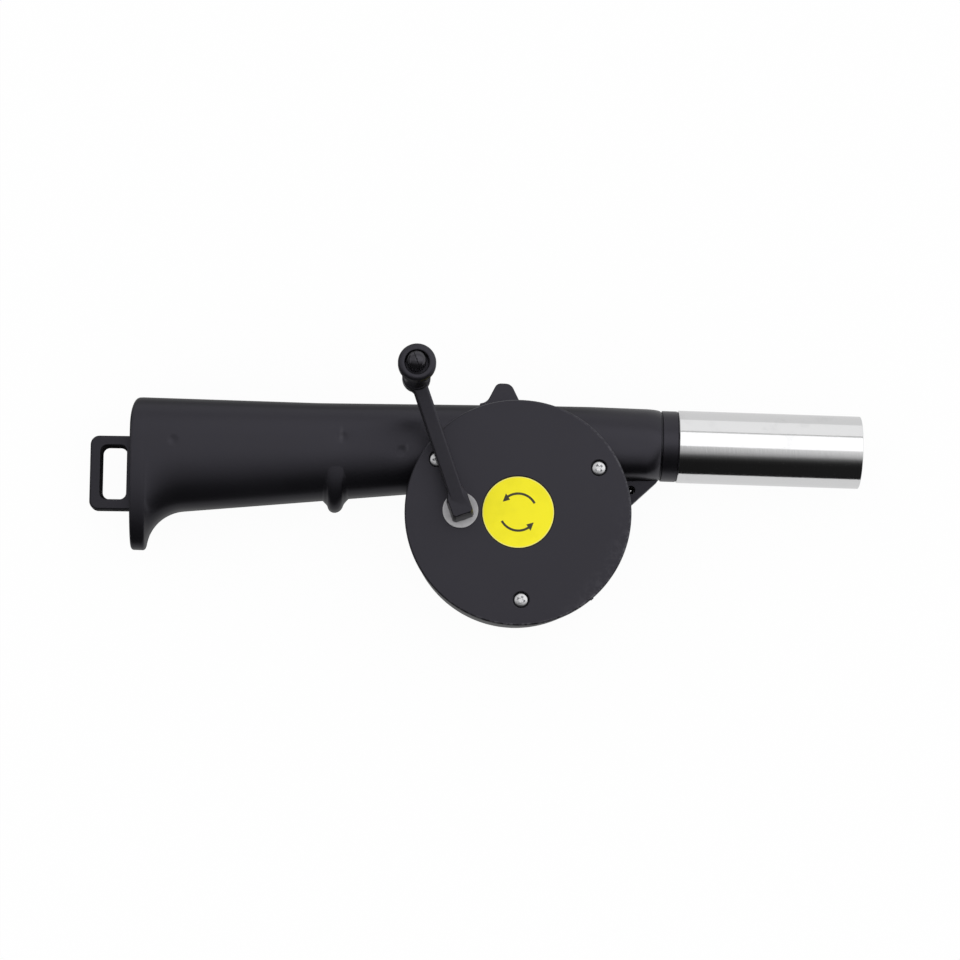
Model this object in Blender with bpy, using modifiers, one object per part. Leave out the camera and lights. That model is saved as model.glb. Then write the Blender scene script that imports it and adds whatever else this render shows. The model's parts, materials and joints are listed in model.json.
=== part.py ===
"""Hand-cranked barbecue blower, modelled piece by piece.

The blower lies on the flat back of its fan case. The origin is the fan's axis on that back face,
+Z points out of the gear cover, +X towards the nozzle's mouth and +Y towards the thumb stop.
"""

import math

import bmesh
import bpy
from mathutils import Matrix, Vector

MM = 0.001

# Clearances
SEAT_GAP = 0.3 * MM
RUN_GAP = 0.25 * MM
PRESS_GAP = 0.12 * MM
PARTING_GAP = 0.2 * MM

# Walls of the moulded shells
WALL = 2.0 * MM
BOSS_WALL = 1.8 * MM

# Fan case and its cover
CASE_RADIUS = 37.4 * MM
CASE_EDGE = 4.0 * MM
COVER_OVERHANG = 1.6 * MM
COVER_THICKNESS = 3.0 * MM
COVER_EDGE = 0.6 * MM
PARTITION_THICKNESS = 2.0 * MM

# Handle, from the butt towards the case
BUTT_X = -135.15 * MM
BUTT_LEAN = 0.027
BUTT_FLANGE = 6.5 * MM
BUTT_EDGE = 1.3 * MM
BUTT_TOP_EDGE = 3.9 * MM
BUTT_TOP_FALL = 11.7 * MM
BUTT_SQUARENESS = 3.0
FLARE_RADIUS = 14.1 * MM
TOP_AT_BUTT = 38.1 * MM
TOP_RISE_START_X = -70.0 * MM
TOP_RISE_END_X = 25.0 * MM
MIDDLE_AT_BUTT = 20.5 * MM
HALF_DEPTH_AT_BUTT = 14.4 * MM
UNDERSIDE_AT_CASE = 11.75 * MM
UNDERSIDE_SLOPE = 0.1105
HANDLE_SQUARENESS_TOP = 3.0
HANDLE_SQUARENESS_BOTTOM = 2.3

# Duct, nozzle spigot and steel tube
PARTING_Z = 14.5 * MM
DUCT_AXIS_Y = 27.3 * MM
DUCT_STEP = 0.1 * MM
DUCT_REACH = 4.95 * MM
DUCT_MOUTH_X = 4.0 * MM
SHOULDER_OFFSET = 2.0 * MM
SHOULDER_LENGTH = 4.4 * MM
NECK_STEP = 1.1 * MM
NECK_LENGTH = 1.3 * MM
COLLAR_STEP = 0.3 * MM
COLLAR_LENGTH = 5.4 * MM
SPIGOT_LENGTH = 12.0 * MM
SPIGOT_WALL = 1.7 * MM
SPIGOT_CHAMFER = 0.4 * MM
TUBE_RADIUS = 12.7 * MM
TUBE_WALL = 0.5 * MM
TUBE_LENGTH = 64.0 * MM

# Thumb stop on top of the handle and finger rib under it
THUMB_X = -5.95 * MM
THUMB_TOP_WIDTH = 1.6 * MM
THUMB_BACK_CROWN = 2.3 * MM
THUMB_FRONT_CROWN = 3.1 * MM
THUMB_BACK_REACH = 8.0 * MM
THUMB_FRONT_REACH = 6.4 * MM
THUMB_FLANK_TILT = 25.0
THUMB_FILLET = 3.6 * MM
THUMB_HEIGHT = 7.2 * MM
THUMB_EDGE = 0.8 * MM
THUMB_SCREW_RISE = 3.2 * MM
RIB_X = -63.25 * MM
RIB_TIP_WIDTH = 4.4 * MM
RIB_BASE_WIDTH = 9.5 * MM
RIB_SHOULDER = 0.9 * MM
RIB_HEIGHT = 4.6 * MM

# Web between the duct and the case
WEB_THICKNESS = 6.0 * MM
WEB_FOOT_ANGLE = math.radians(4.5)

# Hanging loop
LOOP_LENGTH = 13.8 * MM
LOOP_BOTTOM_Y = -1.6 * MM
LOOP_HEIGHT = 26.1 * MM
LOOP_BAR = 4.4 * MM
LOOP_THICKNESS = 5.4 * MM
LOOP_CORNER = 3.4 * MM
LOOP_HOLE_CORNER = 1.8 * MM
LOOP_ROOT = 1.0 * MM
LOOP_BEVEL = 0.7 * MM
LOOP_HEAD_LENGTH = 2.5 * MM
LOOP_HEAD_OVERLAP = 1.8 * MM

# Air inlet in the back of the case
INLET_SLOTS = 16
INLET_INNER_RADIUS = 8.0 * MM
INLET_OUTER_RADIUS = 20.0 * MM
INLET_SLOT_WIDTH = 2.2 * MM

# Fan wheel
FAN_FLOOR_GAP = 1.2 * MM
FAN_RIM_GAP = 6.4 * MM
BLADES = 10
BLADE_HEIGHT = 12.3 * MM
BLADE_THICKNESS = 1.2 * MM
BLADE_INNER_RADIUS = 10.0 * MM
BLADE_SWEEP = math.radians(38)
BLADE_CURL = 1.6
FAN_PLATE = 1.5 * MM
FAN_HUB_RADIUS = 4.5 * MM
FAN_PLATE_GAP = 0.8 * MM
BLADE_TIP_INSET = 1.0 * MM
FAN_SHAFT_RADIUS = 1.5 * MM
FAN_SHAFT_END = 1.0 * MM

# Gears
MODULE = 0.8 * MM
PRESSURE_ANGLE = math.radians(27)
ADDENDUM = 0.68 * MM
DEDENDUM = 0.9 * MM
BACKLASH = 0.14 * MM
CRANK_TEETH = 30
IDLER_PINION_TEETH = 10
IDLER_WHEEL_TEETH = 28
FAN_TEETH = 10
CRANK_GEAR_THICKNESS = 3.5 * MM
IDLER_WHEEL_THICKNESS = 4.0 * MM
GEAR_FLOOR_GAP = 1.3 * MM
GEAR_LAYER_GAP = 0.8 * MM
GEAR_ROOF_GAP = 1.1 * MM
PIVOT_DROP = 2.2 * MM
IDLER_PIN_RADIUS = 1.0 * MM
IDLER_FOOT_STEP = 0.45 * MM
COVER_BLIND_DEPTH = 1.8 * MM
COVER_PAD = 1.0 * MM

# Crank
CRANK_GEAR_ROOM = 2.87 * MM
CRANK_ANGLE = math.radians(111.0)
CRANK_LENGTH = 46.3 * MM
CRANK_SHAFT_RADIUS = 3.5 * MM
CRANK_JOURNAL_RADIUS = 2.2 * MM
CRANK_CUP_FLOOR = 0.5 * MM
SPIGOT_SIDE = 4.0 * MM
SPIGOT_HEIGHT = 5.6 * MM
WASHER_RADIUS = 6.35 * MM
WASHER_THICKNESS = 0.8 * MM
HUB_HEIGHT = 8.6 * MM
HUB_WIDTH = 7.6 * MM
HUB_TOP_WIDTH = 6.6 * MM
HUB_BACK = 3.7 * MM
HUB_TOP_BACK = 2.6 * MM
HUB_FRONT = 5.6 * MM
HUB_CORNER = 1.3 * MM
HUB_SHOULDER = 1.8 * MM
HUB_EDGE = 0.5 * MM
ARM_WIDTH = 5.2 * MM
ARM_THICKNESS = 4.8 * MM
ARM_RISE = 8.6 * MM
ARM_EDGE = 0.8 * MM
PIN_BOSS_RADIUS = 4.85 * MM
PIN_BOSS_HEIGHT = 7.6 * MM
PIN_BOSS_EDGE = 0.6 * MM
GUSSET_LENGTH = 1.0 * MM
PEG_RADIUS = 2.2 * MM
PEG_HEAD_RADIUS = 3.3 * MM
PEG_HEAD_SIDE = 6.0 * MM
PEG_HEAD_TAPER = 1.3 * MM
PEG_STANDS_OUT = 0.8 * MM
PEG_SPLIT = 1.0 * MM
PEG_SPLIT_DEPTH = 12.0 * MM
KNOB_LENGTH = 29.7 * MM
KNOB_RADIUS = 4.4 * MM
KNOB_WAIST_RADIUS = 4.0 * MM
KNOB_WAIST_RISE = 13.4 * MM
KNOB_FOOT_EDGE = 0.4 * MM
KNOB_FLANGE_RADIUS = 6.35 * MM
KNOB_FLANGE_LENGTH = 5.2 * MM
KNOB_FLANGE_ROUNDING = 1.4 * MM
KNOB_FLANGE_EDGE = 0.8 * MM
KNOB_NECK_STEP = 0.3 * MM
KNOB_RECESS_DEPTH = 5.0 * MM
KNOB_LIP = 0.4 * MM
KNOB_PLAY = 0.35 * MM

# Badge on the cover
BADGE_RADIUS = 12.3 * MM
BADGE_THICKNESS = 0.35 * MM
BADGE_STANDS_OUT = 0.1 * MM

# Screws
SCREW_SHANK_RADIUS = 1.2 * MM
SCREW_HEAD_RADIUS = 2.5 * MM
SCREW_HEAD_HEIGHT = 1.5 * MM
SCREW_RECESS_DEPTH = 2.0 * MM
SCREW_LENGTH = 9.5 * MM
SCREW_POINT = 1.8 * MM
CROSS_WIDTH = 0.8 * MM
CROSS_LENGTH = 3.0 * MM
CROSS_DEPTH = 0.8 * MM
SCREW_TIP_ROOM = 1.0 * MM
SCREW_DOME = 0.7 * MM
SHELL_SCREW_SEAT = 5.0 * MM

# Cover screws: how far in from the case's rim, and the angle from +X in degrees
COVER_SCREWS = [(4.0 * MM, 148.6), (5.6 * MM, 30.6), (7.2 * MM, -86.5)]

# Handle screws: place along the handle and height over the section's middle line
HANDLE_SCREWS = [(-119.7 * MM, 1.0 * MM), (-61.2 * MM, 1.7 * MM), (-40.7 * MM, -3.2 * MM)]

# Web screw: how far out from the case's rim and down from the duct's lower edge
WEB_SCREW_OFFSET = (2.5 * MM, 3.3 * MM)

# Facets
ROUND = 48
HALF_ROUND = 28
PEG_ROUND = 18
SMALL_ROUND = 12
TINY_ROUND = 8
SECTION_POINTS = 24
FLANK_POINTS = 3
FLAT_ANGLE = math.radians(0.5)
SHARP_ANGLE = math.radians(35)
BEVEL_ANGLE = math.radians(40)
WELD_DISTANCE = 0.00001

# Levels along the fan's axis, from the back of the case to the crank
BLADE_Z = WALL + FAN_FLOOR_GAP
FAN_PLATE_Z = BLADE_Z + BLADE_HEIGHT
PIVOT_Z = FAN_PLATE_Z + FAN_PLATE + FAN_PLATE_GAP
PARTITION_Z = PIVOT_Z + PIVOT_DROP
POCKET_Z = PARTITION_Z + PARTITION_THICKNESS
CRANK_GEAR_Z = POCKET_Z + GEAR_FLOOR_GAP
IDLER_WHEEL_Z = CRANK_GEAR_Z + CRANK_GEAR_THICKNESS + GEAR_LAYER_GAP
GEAR_TOP_Z = IDLER_WHEEL_Z + IDLER_WHEEL_THICKNESS
CASE_TOP_Z = GEAR_TOP_Z + GEAR_ROOF_GAP
COVER_Z = CASE_TOP_Z + SEAT_GAP
COVER_TOP_Z = COVER_Z + COVER_THICKNESS
BLIND_TOP_Z = COVER_Z + COVER_BLIND_DEPTH
WASHER_Z = COVER_TOP_Z + SEAT_GAP
HUB_Z = WASHER_Z + WASHER_THICKNESS + SEAT_GAP
HUB_TOP_Z = HUB_Z + HUB_HEIGHT

# Radii and places that follow from the sizes above
CHAMBER_RADIUS = CASE_RADIUS - WALL
COVER_RADIUS = CASE_RADIUS + COVER_OVERHANG
FAN_RADIUS = CHAMBER_RADIUS - FAN_RIM_GAP
SCREW_HOLE_RADIUS = SCREW_SHANK_RADIUS + RUN_GAP
SCREW_RECESS_RADIUS = SCREW_HEAD_RADIUS + SEAT_GAP
BOSS_RADIUS = SCREW_HOLE_RADIUS + BOSS_WALL
SHELL_SEAT_Z = PARTING_Z - SHELL_SCREW_SEAT
DUCT_RADIUS = TUBE_RADIUS + DUCT_STEP
DUCT_X = CASE_RADIUS + DUCT_REACH
SHOULDER_START_X = DUCT_X + SHOULDER_OFFSET
NECK_X = SHOULDER_START_X + SHOULDER_LENGTH
NECK_RADIUS = TUBE_RADIUS - NECK_STEP
COLLAR_X = NECK_X + NECK_LENGTH
COLLAR_RADIUS = TUBE_RADIUS - COLLAR_STEP
SPIGOT_X = COLLAR_X + COLLAR_LENGTH
SPIGOT_RADIUS = TUBE_RADIUS - TUBE_WALL - SEAT_GAP
BORE_RADIUS = SPIGOT_RADIUS - SPIGOT_WALL
TUBE_X = SPIGOT_X + SEAT_GAP
LUG_BOTTOM_Z = SHELL_SEAT_Z - SCREW_RECESS_DEPTH
LUG_TOP_Z = SHELL_SEAT_Z + SCREW_LENGTH + SCREW_TIP_ROOM + BOSS_WALL
ARM_TOP_Z = HUB_TOP_Z + ARM_RISE
KNOB_Z = ARM_TOP_Z + 2 * SEAT_GAP
KNOB_TOP_Z = KNOB_Z + KNOB_LENGTH
KNOB_RECESS_Z = KNOB_TOP_Z - KNOB_RECESS_DEPTH


def pitch_radius(teeth):
    """Radius of a gear's pitch circle."""
    return teeth * MODULE / 2


def meeting_point(first, first_reach, second, second_reach, side):
    """Point at the two given distances from two points, on the chosen side of their line."""
    apart = second - first
    span = apart.length
    along = (first_reach ** 2 - second_reach ** 2 + span ** 2) / (2 * span)
    off = side * math.sqrt(first_reach ** 2 - along ** 2)
    unit = apart / span
    return first + unit * along + Vector((-unit.y, unit.x)) * off


def meshed_phase(place, phase, teeth, other_place, other_teeth):
    """Angle of a tooth of the second gear that puts it in mesh with the first."""
    apart = other_place - place
    direction = math.atan2(apart.y, apart.x)
    tooth_share = (direction - phase) * teeth / (2 * math.pi)
    return direction + math.pi - (0.5 - tooth_share) * 2 * math.pi / other_teeth


FAN_PLACE = Vector((0.0, 0.0))
CRANK_PLACE = Vector((pitch_radius(CRANK_TEETH) + ADDENDUM + CRANK_GEAR_ROOM - CHAMBER_RADIUS, 0.0))
IDLER_PLACE = meeting_point(
    CRANK_PLACE, pitch_radius(CRANK_TEETH) + pitch_radius(IDLER_PINION_TEETH),
    FAN_PLACE, pitch_radius(IDLER_WHEEL_TEETH) + pitch_radius(FAN_TEETH), side=-1)
IDLER_PINION_PHASE = meshed_phase(CRANK_PLACE, 0.0, CRANK_TEETH, IDLER_PLACE, IDLER_PINION_TEETH)
FAN_PHASE = meshed_phase(IDLER_PLACE, 0.0, IDLER_WHEEL_TEETH, FAN_PLACE, FAN_TEETH)
ARM_DIRECTION = Vector((math.cos(CRANK_ANGLE), math.sin(CRANK_ANGLE)))
PIN_PLACE = CRANK_PLACE + ARM_DIRECTION * CRANK_LENGTH


def between(x, start_x, end_x, start, end):
    """Value on the straight line through two points, held level past its ends."""
    share = min(max((x - start_x) / (end_x - start_x), 0.0), 1.0)
    return start + (end - start) * share


def underside(x):
    """Height of the body's lower line at x, without the flare."""
    if x < 0:
        return UNDERSIDE_AT_CASE + UNDERSIDE_SLOPE * x
    return between(x, 0.0, DUCT_X, UNDERSIDE_AT_CASE, DUCT_AXIS_Y - DUCT_RADIUS)


def body_section(x):
    """Top, middle, half depth and the two squareness numbers of the body at x."""
    top = between(x, TOP_RISE_START_X, TOP_RISE_END_X, TOP_AT_BUTT, DUCT_AXIS_Y + DUCT_RADIUS)
    middle = between(x, BUTT_X, DUCT_X, MIDDLE_AT_BUTT, DUCT_AXIS_Y)
    depth = between(x, BUTT_X, DUCT_X, HALF_DEPTH_AT_BUTT, DUCT_RADIUS)
    square_top = between(x, 0.0, DUCT_X, HANDLE_SQUARENESS_TOP, 2.0)
    square_bottom = between(x, 0.0, DUCT_X, HANDLE_SQUARENESS_BOTTOM, 2.0)
    return top, middle, depth, square_top, square_bottom


def rim_place(inset, degrees):
    """Point inside the case's rim."""
    angle = math.radians(degrees)
    reach = CASE_RADIUS - inset
    return reach * math.cos(angle), reach * math.sin(angle)


THUMB_BASE_Y = body_section(THUMB_X)[0]
THUMB_SCREW_PLACE = (THUMB_X, THUMB_BASE_Y + THUMB_SCREW_RISE)
WEB_SCREW_PLACE = (CASE_RADIUS + WEB_SCREW_OFFSET[0], DUCT_AXIS_Y - DUCT_RADIUS - WEB_SCREW_OFFSET[1])
HANDLE_SCREW_PLACES = [(x, body_section(x)[1] + rise) for x, rise in HANDLE_SCREWS]
SHELL_SCREW_PLACES = HANDLE_SCREW_PLACES + [THUMB_SCREW_PLACE, WEB_SCREW_PLACE]
COVER_SCREW_PLACES = [rim_place(inset, degrees) for inset, degrees in COVER_SCREWS]


def clear_scene():
    """Remove whatever the file holds."""
    for item in list(bpy.data.objects):
        bpy.data.objects.remove(item, do_unlink=True)


def new_collection(name):
    """Add a collection to the scene."""
    collection = bpy.data.collections.new(name)
    bpy.context.scene.collection.children.link(collection)
    return collection


def new_material(name, colour, roughness, metallic=0.0):
    """Principled material with one colour."""
    material = bpy.data.materials.new(name)
    material.use_nodes = True
    shader = material.node_tree.nodes["Principled BSDF"]
    shader.inputs["Base Color"].default_value = (*colour, 1.0)
    shader.inputs["Roughness"].default_value = roughness
    shader.inputs["Metallic"].default_value = metallic
    return material


def place_mesh(name, shape):
    """Turn a bmesh into an object among the cutters."""
    bmesh.ops.recalc_face_normals(shape, faces=shape.faces)
    mesh = bpy.data.meshes.new(name)
    shape.to_mesh(mesh)
    shape.free()
    item = bpy.data.objects.new(name, mesh)
    item.hide_render = True
    item.display_type = "WIRE"
    CUTTERS.objects.link(item)
    return item


def cylinder(name, radius, bottom, top, place=(0.0, 0.0), segments=SMALL_ROUND):
    """Upright cylinder between two levels."""
    shape = bmesh.new()
    bmesh.ops.create_cone(shape, cap_ends=True, segments=segments, radius1=radius, radius2=radius,
                          depth=top - bottom)
    item = place_mesh(name, shape)
    item.location = (place[0], place[1], (bottom + top) / 2)
    return item


def box(name, low, high):
    """Box between two corners."""
    shape = bmesh.new()
    bmesh.ops.create_cube(shape, size=1.0)
    size = Vector(high) - Vector(low)
    bmesh.ops.scale(shape, vec=size, verts=shape.verts)
    item = place_mesh(name, shape)
    item.location = (Vector(high) + Vector(low)) / 2
    return item


def turned(name, profile, place=(0.0, 0.0), segments=SMALL_ROUND):
    """Solid of revolution from (radius, height) points that run down its outer side."""
    mesh = bpy.data.meshes.new(name)
    points = [(radius, 0.0, height) for radius, height in profile]
    edges = [(i, (i + 1) % len(points)) for i in range(len(points))]
    if profile[0][0] == 0.0:
        edges.pop()
    mesh.from_pydata(points, edges, [])
    item = bpy.data.objects.new(name, mesh)
    item.hide_render = True
    item.display_type = "WIRE"
    CUTTERS.objects.link(item)
    screw = item.modifiers.new("Turn", "SCREW")
    screw.steps = segments
    screw.render_steps = segments
    screw.use_merge_vertices = True
    screw.merge_threshold = WELD_DISTANCE
    flat = item.modifiers.new("Whole caps", "DECIMATE")
    flat.decimate_type = "DISSOLVE"
    flat.angle_limit = FLAT_ANGLE
    item.location = (place[0], place[1], 0.0)
    return item


def extruded(name, outlines, bottom, top):
    """Flat outlines, the later ones holes, given a thickness between two levels."""
    curve = bpy.data.curves.new(name, "CURVE")
    curve.dimensions = "2D"
    curve.fill_mode = "BOTH"
    curve.extrude = (top - bottom) / 2
    for outline in outlines:
        spline = curve.splines.new("POLY")
        spline.points.add(len(outline) - 1)
        for point, (x, y) in zip(spline.points, outline):
            point.co = (x, y, 0.0, 1.0)
        spline.use_cyclic_u = True
    guide = bpy.data.objects.new(name, curve)
    CUTTERS.objects.link(guide)
    graph = bpy.context.evaluated_depsgraph_get()
    shape = bmesh.new()
    shape.from_mesh(bpy.data.meshes.new_from_object(guide.evaluated_get(graph)))
    bpy.data.objects.remove(guide, do_unlink=True)
    bmesh.ops.remove_doubles(shape, verts=shape.verts, dist=WELD_DISTANCE / 10)
    item = place_mesh(name, shape)
    item.location.z = (bottom + top) / 2
    return item


def loft(name, rings):
    """Skin over closed rings of equally many points, capped at both ends."""
    shape = bmesh.new()
    loops = [[shape.verts.new(point) for point in ring] for ring in rings]
    for near, far in zip(loops, loops[1:]):
        for i in range(len(near)):
            j = (i + 1) % len(near)
            shape.faces.new((near[i], near[j], far[j], far[i]))
    shape.faces.new(loops[0])
    shape.faces.new(loops[-1])
    return place_mesh(name, shape)


def combine(item, operation, *tools):
    """Boolean modifiers on an object, one for each tool."""
    for tool in tools:
        modifier = item.modifiers.new(tool.name, "BOOLEAN")
        modifier.operation = operation
        modifier.solver = "EXACT"
        modifier.object = tool
    return item


def cut(item, *tools):
    """Take tools away from an object."""
    return combine(item, "DIFFERENCE", *tools)


def join(item, *tools):
    """Fuse tools to an object."""
    return combine(item, "UNION", *tools)


def keep(item, *tools):
    """Keep only what an object shares with the tools."""
    return combine(item, "INTERSECT", *tools)


def finish(item, material, parent=None):
    """Make an object one of the blower's pieces."""
    CUTTERS.objects.unlink(item)
    PIECES.objects.link(item)
    item.hide_render = False
    item.display_type = "TEXTURED"
    item.data.materials.clear()
    item.data.materials.append(material)
    if item.data.polygons:
        item.data.shade_smooth()
        item.data.set_sharp_from_angle(angle=SHARP_ANGLE)
    if parent:
        hold_in_place = parent.matrix_world.inverted()
        item.parent = parent
        item.matrix_parent_inverse = hold_in_place
    return item


def axle(name, place, parent=None):
    """Empty on the axis that a moving body turns about."""
    empty = bpy.data.objects.new(name, None)
    PIECES.objects.link(empty)
    empty.location = (place[0], place[1], 0.0)
    if parent:
        empty.parent = parent
        empty.matrix_parent_inverse = parent.matrix_world.inverted()
    bpy.context.view_layer.update()
    return empty


def arc(centre, radius, start, end, steps):
    """Points along an arc, angles in degrees."""
    points = []
    for i in range(steps + 1):
        angle = math.radians(start + (end - start) * i / steps)
        points.append((centre[0] + radius * math.cos(angle), centre[1] + radius * math.sin(angle)))
    return points


def rounded_rectangle(low, high, corner, steps=4):
    """Outline of a rectangle with rounded corners."""
    left, bottom = low[0] + corner, low[1] + corner
    right, top = high[0] - corner, high[1] - corner
    points = arc((right, top), corner, 0, 90, steps) + arc((left, top), corner, 90, 180, steps)
    points += arc((left, bottom), corner, 180, 270, steps)
    points += arc((right, bottom), corner, 270, 360, steps)
    return points


def body_ring(x, bottom, inset=0.0, edge=0.0):
    """Points round the body at x: two half superellipses that share a middle line.

    edge, from 0 to 1, is how far round the butt's rounded end the ring lies.
    """
    top, middle, depth, square_top, square_bottom = body_section(x)
    turn = edge * math.pi / 2
    shrink = 1 - math.cos(turn) ** (2 / BUTT_SQUARENESS)
    slide = 1 - math.sin(turn) ** (2 / BUTT_SQUARENESS) if edge else 0.0
    points = []
    for i in range(SECTION_POINTS):
        angle = 2 * math.pi * i / SECTION_POINTS
        side, rise = math.cos(angle), math.sin(angle)
        square = square_top if rise > 0 else square_bottom
        reach = top - inset - middle if rise > 0 else middle - bottom - inset
        upward = max(rise, 0.0)
        fall = BUTT_EDGE + (BUTT_TOP_FALL - BUTT_EDGE) * upward
        length = BUTT_EDGE + (BUTT_TOP_EDGE - BUTT_EDGE) * upward
        y = middle + (reach - fall * shrink) * math.copysign(abs(rise) ** (2 / square), rise)
        z = (depth - inset - BUTT_EDGE * shrink) * math.copysign(abs(side) ** (2 / square), side)
        points.append((x + length * slide + butt_lean(x, y), y, PARTING_Z + z))
    return points


def butt_lean(x, y):
    """How far the leaning end face shifts a point near the butt towards the case."""
    fade = between(x, BUTT_X, BUTT_X + BUTT_FLANGE, 1.0, 0.0)
    return BUTT_LEAN * (TOP_AT_BUTT - y) * fade


def flare_rings(inset):
    """Rings where the handle's lower line curves down into the butt."""
    slope_angle = math.atan(UNDERSIDE_SLOPE)
    centre_x = BUTT_X + BUTT_FLANGE + FLARE_RADIUS
    tangent_x = centre_x - FLARE_RADIUS * math.sin(slope_angle)
    centre_y = underside(tangent_x) - FLARE_RADIUS * math.cos(slope_angle)
    radius = FLARE_RADIUS + inset
    last_angle = math.acos(inset / radius)
    rings = []
    steps = 5
    for i in range(steps + 1):
        angle = last_angle + (slope_angle - last_angle) * i / steps
        x = centre_x - radius * math.sin(angle)
        rings.append(body_ring(x, centre_y + radius * math.cos(angle) - inset, inset))
    return rings, centre_y


def body_outside():
    """Outer form of handle and duct in one loft."""
    flare, tip_y = flare_rings(0.0)
    rings = [body_ring(BUTT_X, tip_y, edge=share) for share in (1.0, 0.8, 0.55, 0.3)]
    rings.append([(x + BUTT_TOP_EDGE, y, z) for x, y, z in body_ring(BUTT_X, tip_y)])
    rings += flare
    for x in ((RIB_X + flare[-1][0][0]) / 2, TOP_RISE_START_X, -CASE_RADIUS, 0.0, TOP_RISE_END_X, DUCT_X):
        rings.append(body_ring(x, underside(x)))
    for step in range(4):
        angle = step * math.pi / 6
        x = SHOULDER_START_X + SHOULDER_LENGTH * math.sin(angle)
        shrink = (DUCT_RADIUS - NECK_RADIUS + SEAT_GAP) * (1 - math.cos(angle))
        ring = body_ring(DUCT_X, underside(DUCT_X), inset=shrink)
        rings.append([(x, y, z) for _, y, z in ring])
    return loft("body_outside", rings)


def handle_cavity():
    """Hollow of the handle, kept out of the fan case."""
    flare, tip_y = flare_rings(WALL)
    rings = [body_ring(BUTT_X + WALL, tip_y, inset=WALL)] + flare
    for x in (TOP_RISE_START_X, -CASE_RADIUS / 2):
        rings.append(body_ring(x, underside(x), inset=WALL))
    cavity = loft("handle_cavity", rings)
    return cut(cavity, cylinder("case_in_handle", CASE_RADIUS, -WALL, COVER_Z, segments=ROUND))


def duct_cavity():
    """Air passage from the fan chamber to the nozzle, kept under the gear pocket."""
    rings = []
    for x in (DUCT_MOUTH_X, TOP_RISE_END_X, DUCT_X, SHOULDER_START_X):
        rings.append(body_ring(x, underside(x), inset=WALL))
    cavity = loft("duct_cavity", rings)
    ceiling = PARTITION_Z - SEAT_GAP
    return cut(cavity, cylinder("pocket_over_duct", CASE_RADIUS, ceiling, COVER_Z, segments=ROUND))


def nozzle_root():
    """Neck, collar and spigot, turned about the duct's axis."""
    end = SPIGOT_X + SPIGOT_LENGTH
    profile = [(0.0, end), (SPIGOT_RADIUS - SPIGOT_CHAMFER, end), (SPIGOT_RADIUS, end - SPIGOT_CHAMFER),
               (SPIGOT_RADIUS, SPIGOT_X), (COLLAR_RADIUS, SPIGOT_X), (COLLAR_RADIUS, COLLAR_X),
               (NECK_RADIUS, COLLAR_X), (NECK_RADIUS, DUCT_X), (0.0, DUCT_X)]
    root = turned("nozzle_root", profile, segments=HALF_ROUND)
    root.rotation_euler.y = math.pi / 2
    root.location = (0.0, DUCT_AXIS_Y, PARTING_Z)
    return root


def nozzle_bore():
    """Round bore through the spigot into the duct."""
    length = SPIGOT_X + SPIGOT_LENGTH + WALL - DUCT_X
    bore = cylinder("nozzle_bore", BORE_RADIUS, -length / 2, length / 2, segments=HALF_ROUND)
    bore.rotation_euler.y = math.pi / 2
    bore.location = (DUCT_X + length / 2, DUCT_AXIS_Y, PARTING_Z)
    return bore


def case_outside():
    """Drum of the fan case with a rounded back edge."""
    profile = [(0.0, CASE_TOP_Z), (CASE_RADIUS, CASE_TOP_Z)]
    for radius, height in arc((CASE_RADIUS - CASE_EDGE, CASE_EDGE), CASE_EDGE, 0, -90, 3):
        profile.append((radius, height))
    profile.append((0.0, 0.0))
    return turned("case_outside", profile, segments=ROUND)


def thumb_stop():
    """Hump on top of the handle whose back flank runs out in a hollow."""
    base_y = THUMB_BASE_Y - WALL
    top_y = THUMB_BASE_Y + THUMB_HEIGHT
    back, front = THUMB_X - THUMB_BACK_REACH, THUMB_X + THUMB_FRONT_REACH
    outline = [(front, base_y), (front, THUMB_BASE_Y)]
    outline += arc((THUMB_X + THUMB_TOP_WIDTH / 2, top_y - THUMB_FRONT_CROWN), THUMB_FRONT_CROWN,
                   THUMB_FLANK_TILT, 90, 3)
    outline += arc((THUMB_X - THUMB_TOP_WIDTH / 2, top_y - THUMB_BACK_CROWN), THUMB_BACK_CROWN,
                   90, 180 - THUMB_FLANK_TILT, 3)
    outline += arc((back, THUMB_BASE_Y + THUMB_FILLET), THUMB_FILLET, -THUMB_FLANK_TILT, -90, 3)
    outline.append((back, base_y))
    stop = extruded("thumb_stop", [outline], LUG_BOTTOM_Z, LUG_TOP_Z)
    return bevelled(stop, THUMB_EDGE, 2)


def bevelled(item, width, segments):
    """Bevel on an object's sharp edges."""
    bevel = item.modifiers.new("Rounded edges", "BEVEL")
    bevel.width = width
    bevel.segments = segments
    bevel.limit_method = "ANGLE"
    bevel.angle_limit = BEVEL_ANGLE
    return item


def finger_rib():
    """Ridge round the underside of the handle, fading out on its front and back."""
    half_tip, half_base = RIB_TIP_WIDTH / 2, RIB_BASE_WIDTH / 2
    shoulder, foot = half_tip + RIB_SHOULDER, RIB_HEIGHT / 3
    steps = [(-half_base, -SEAT_GAP), (-shoulder, foot), (-half_tip, RIB_HEIGHT),
             (half_tip, RIB_HEIGHT), (shoulder, foot), (half_base, -SEAT_GAP)]
    rings = []
    for offset, drop in steps:
        x = RIB_X + offset
        ring = body_ring(x, underside(x) - drop - SEAT_GAP, inset=SEAT_GAP)
        rings.append([(px, min(py, body_section(x)[1]), pz) for px, py, pz in ring])
    return loft("finger_rib", rings)


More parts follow.
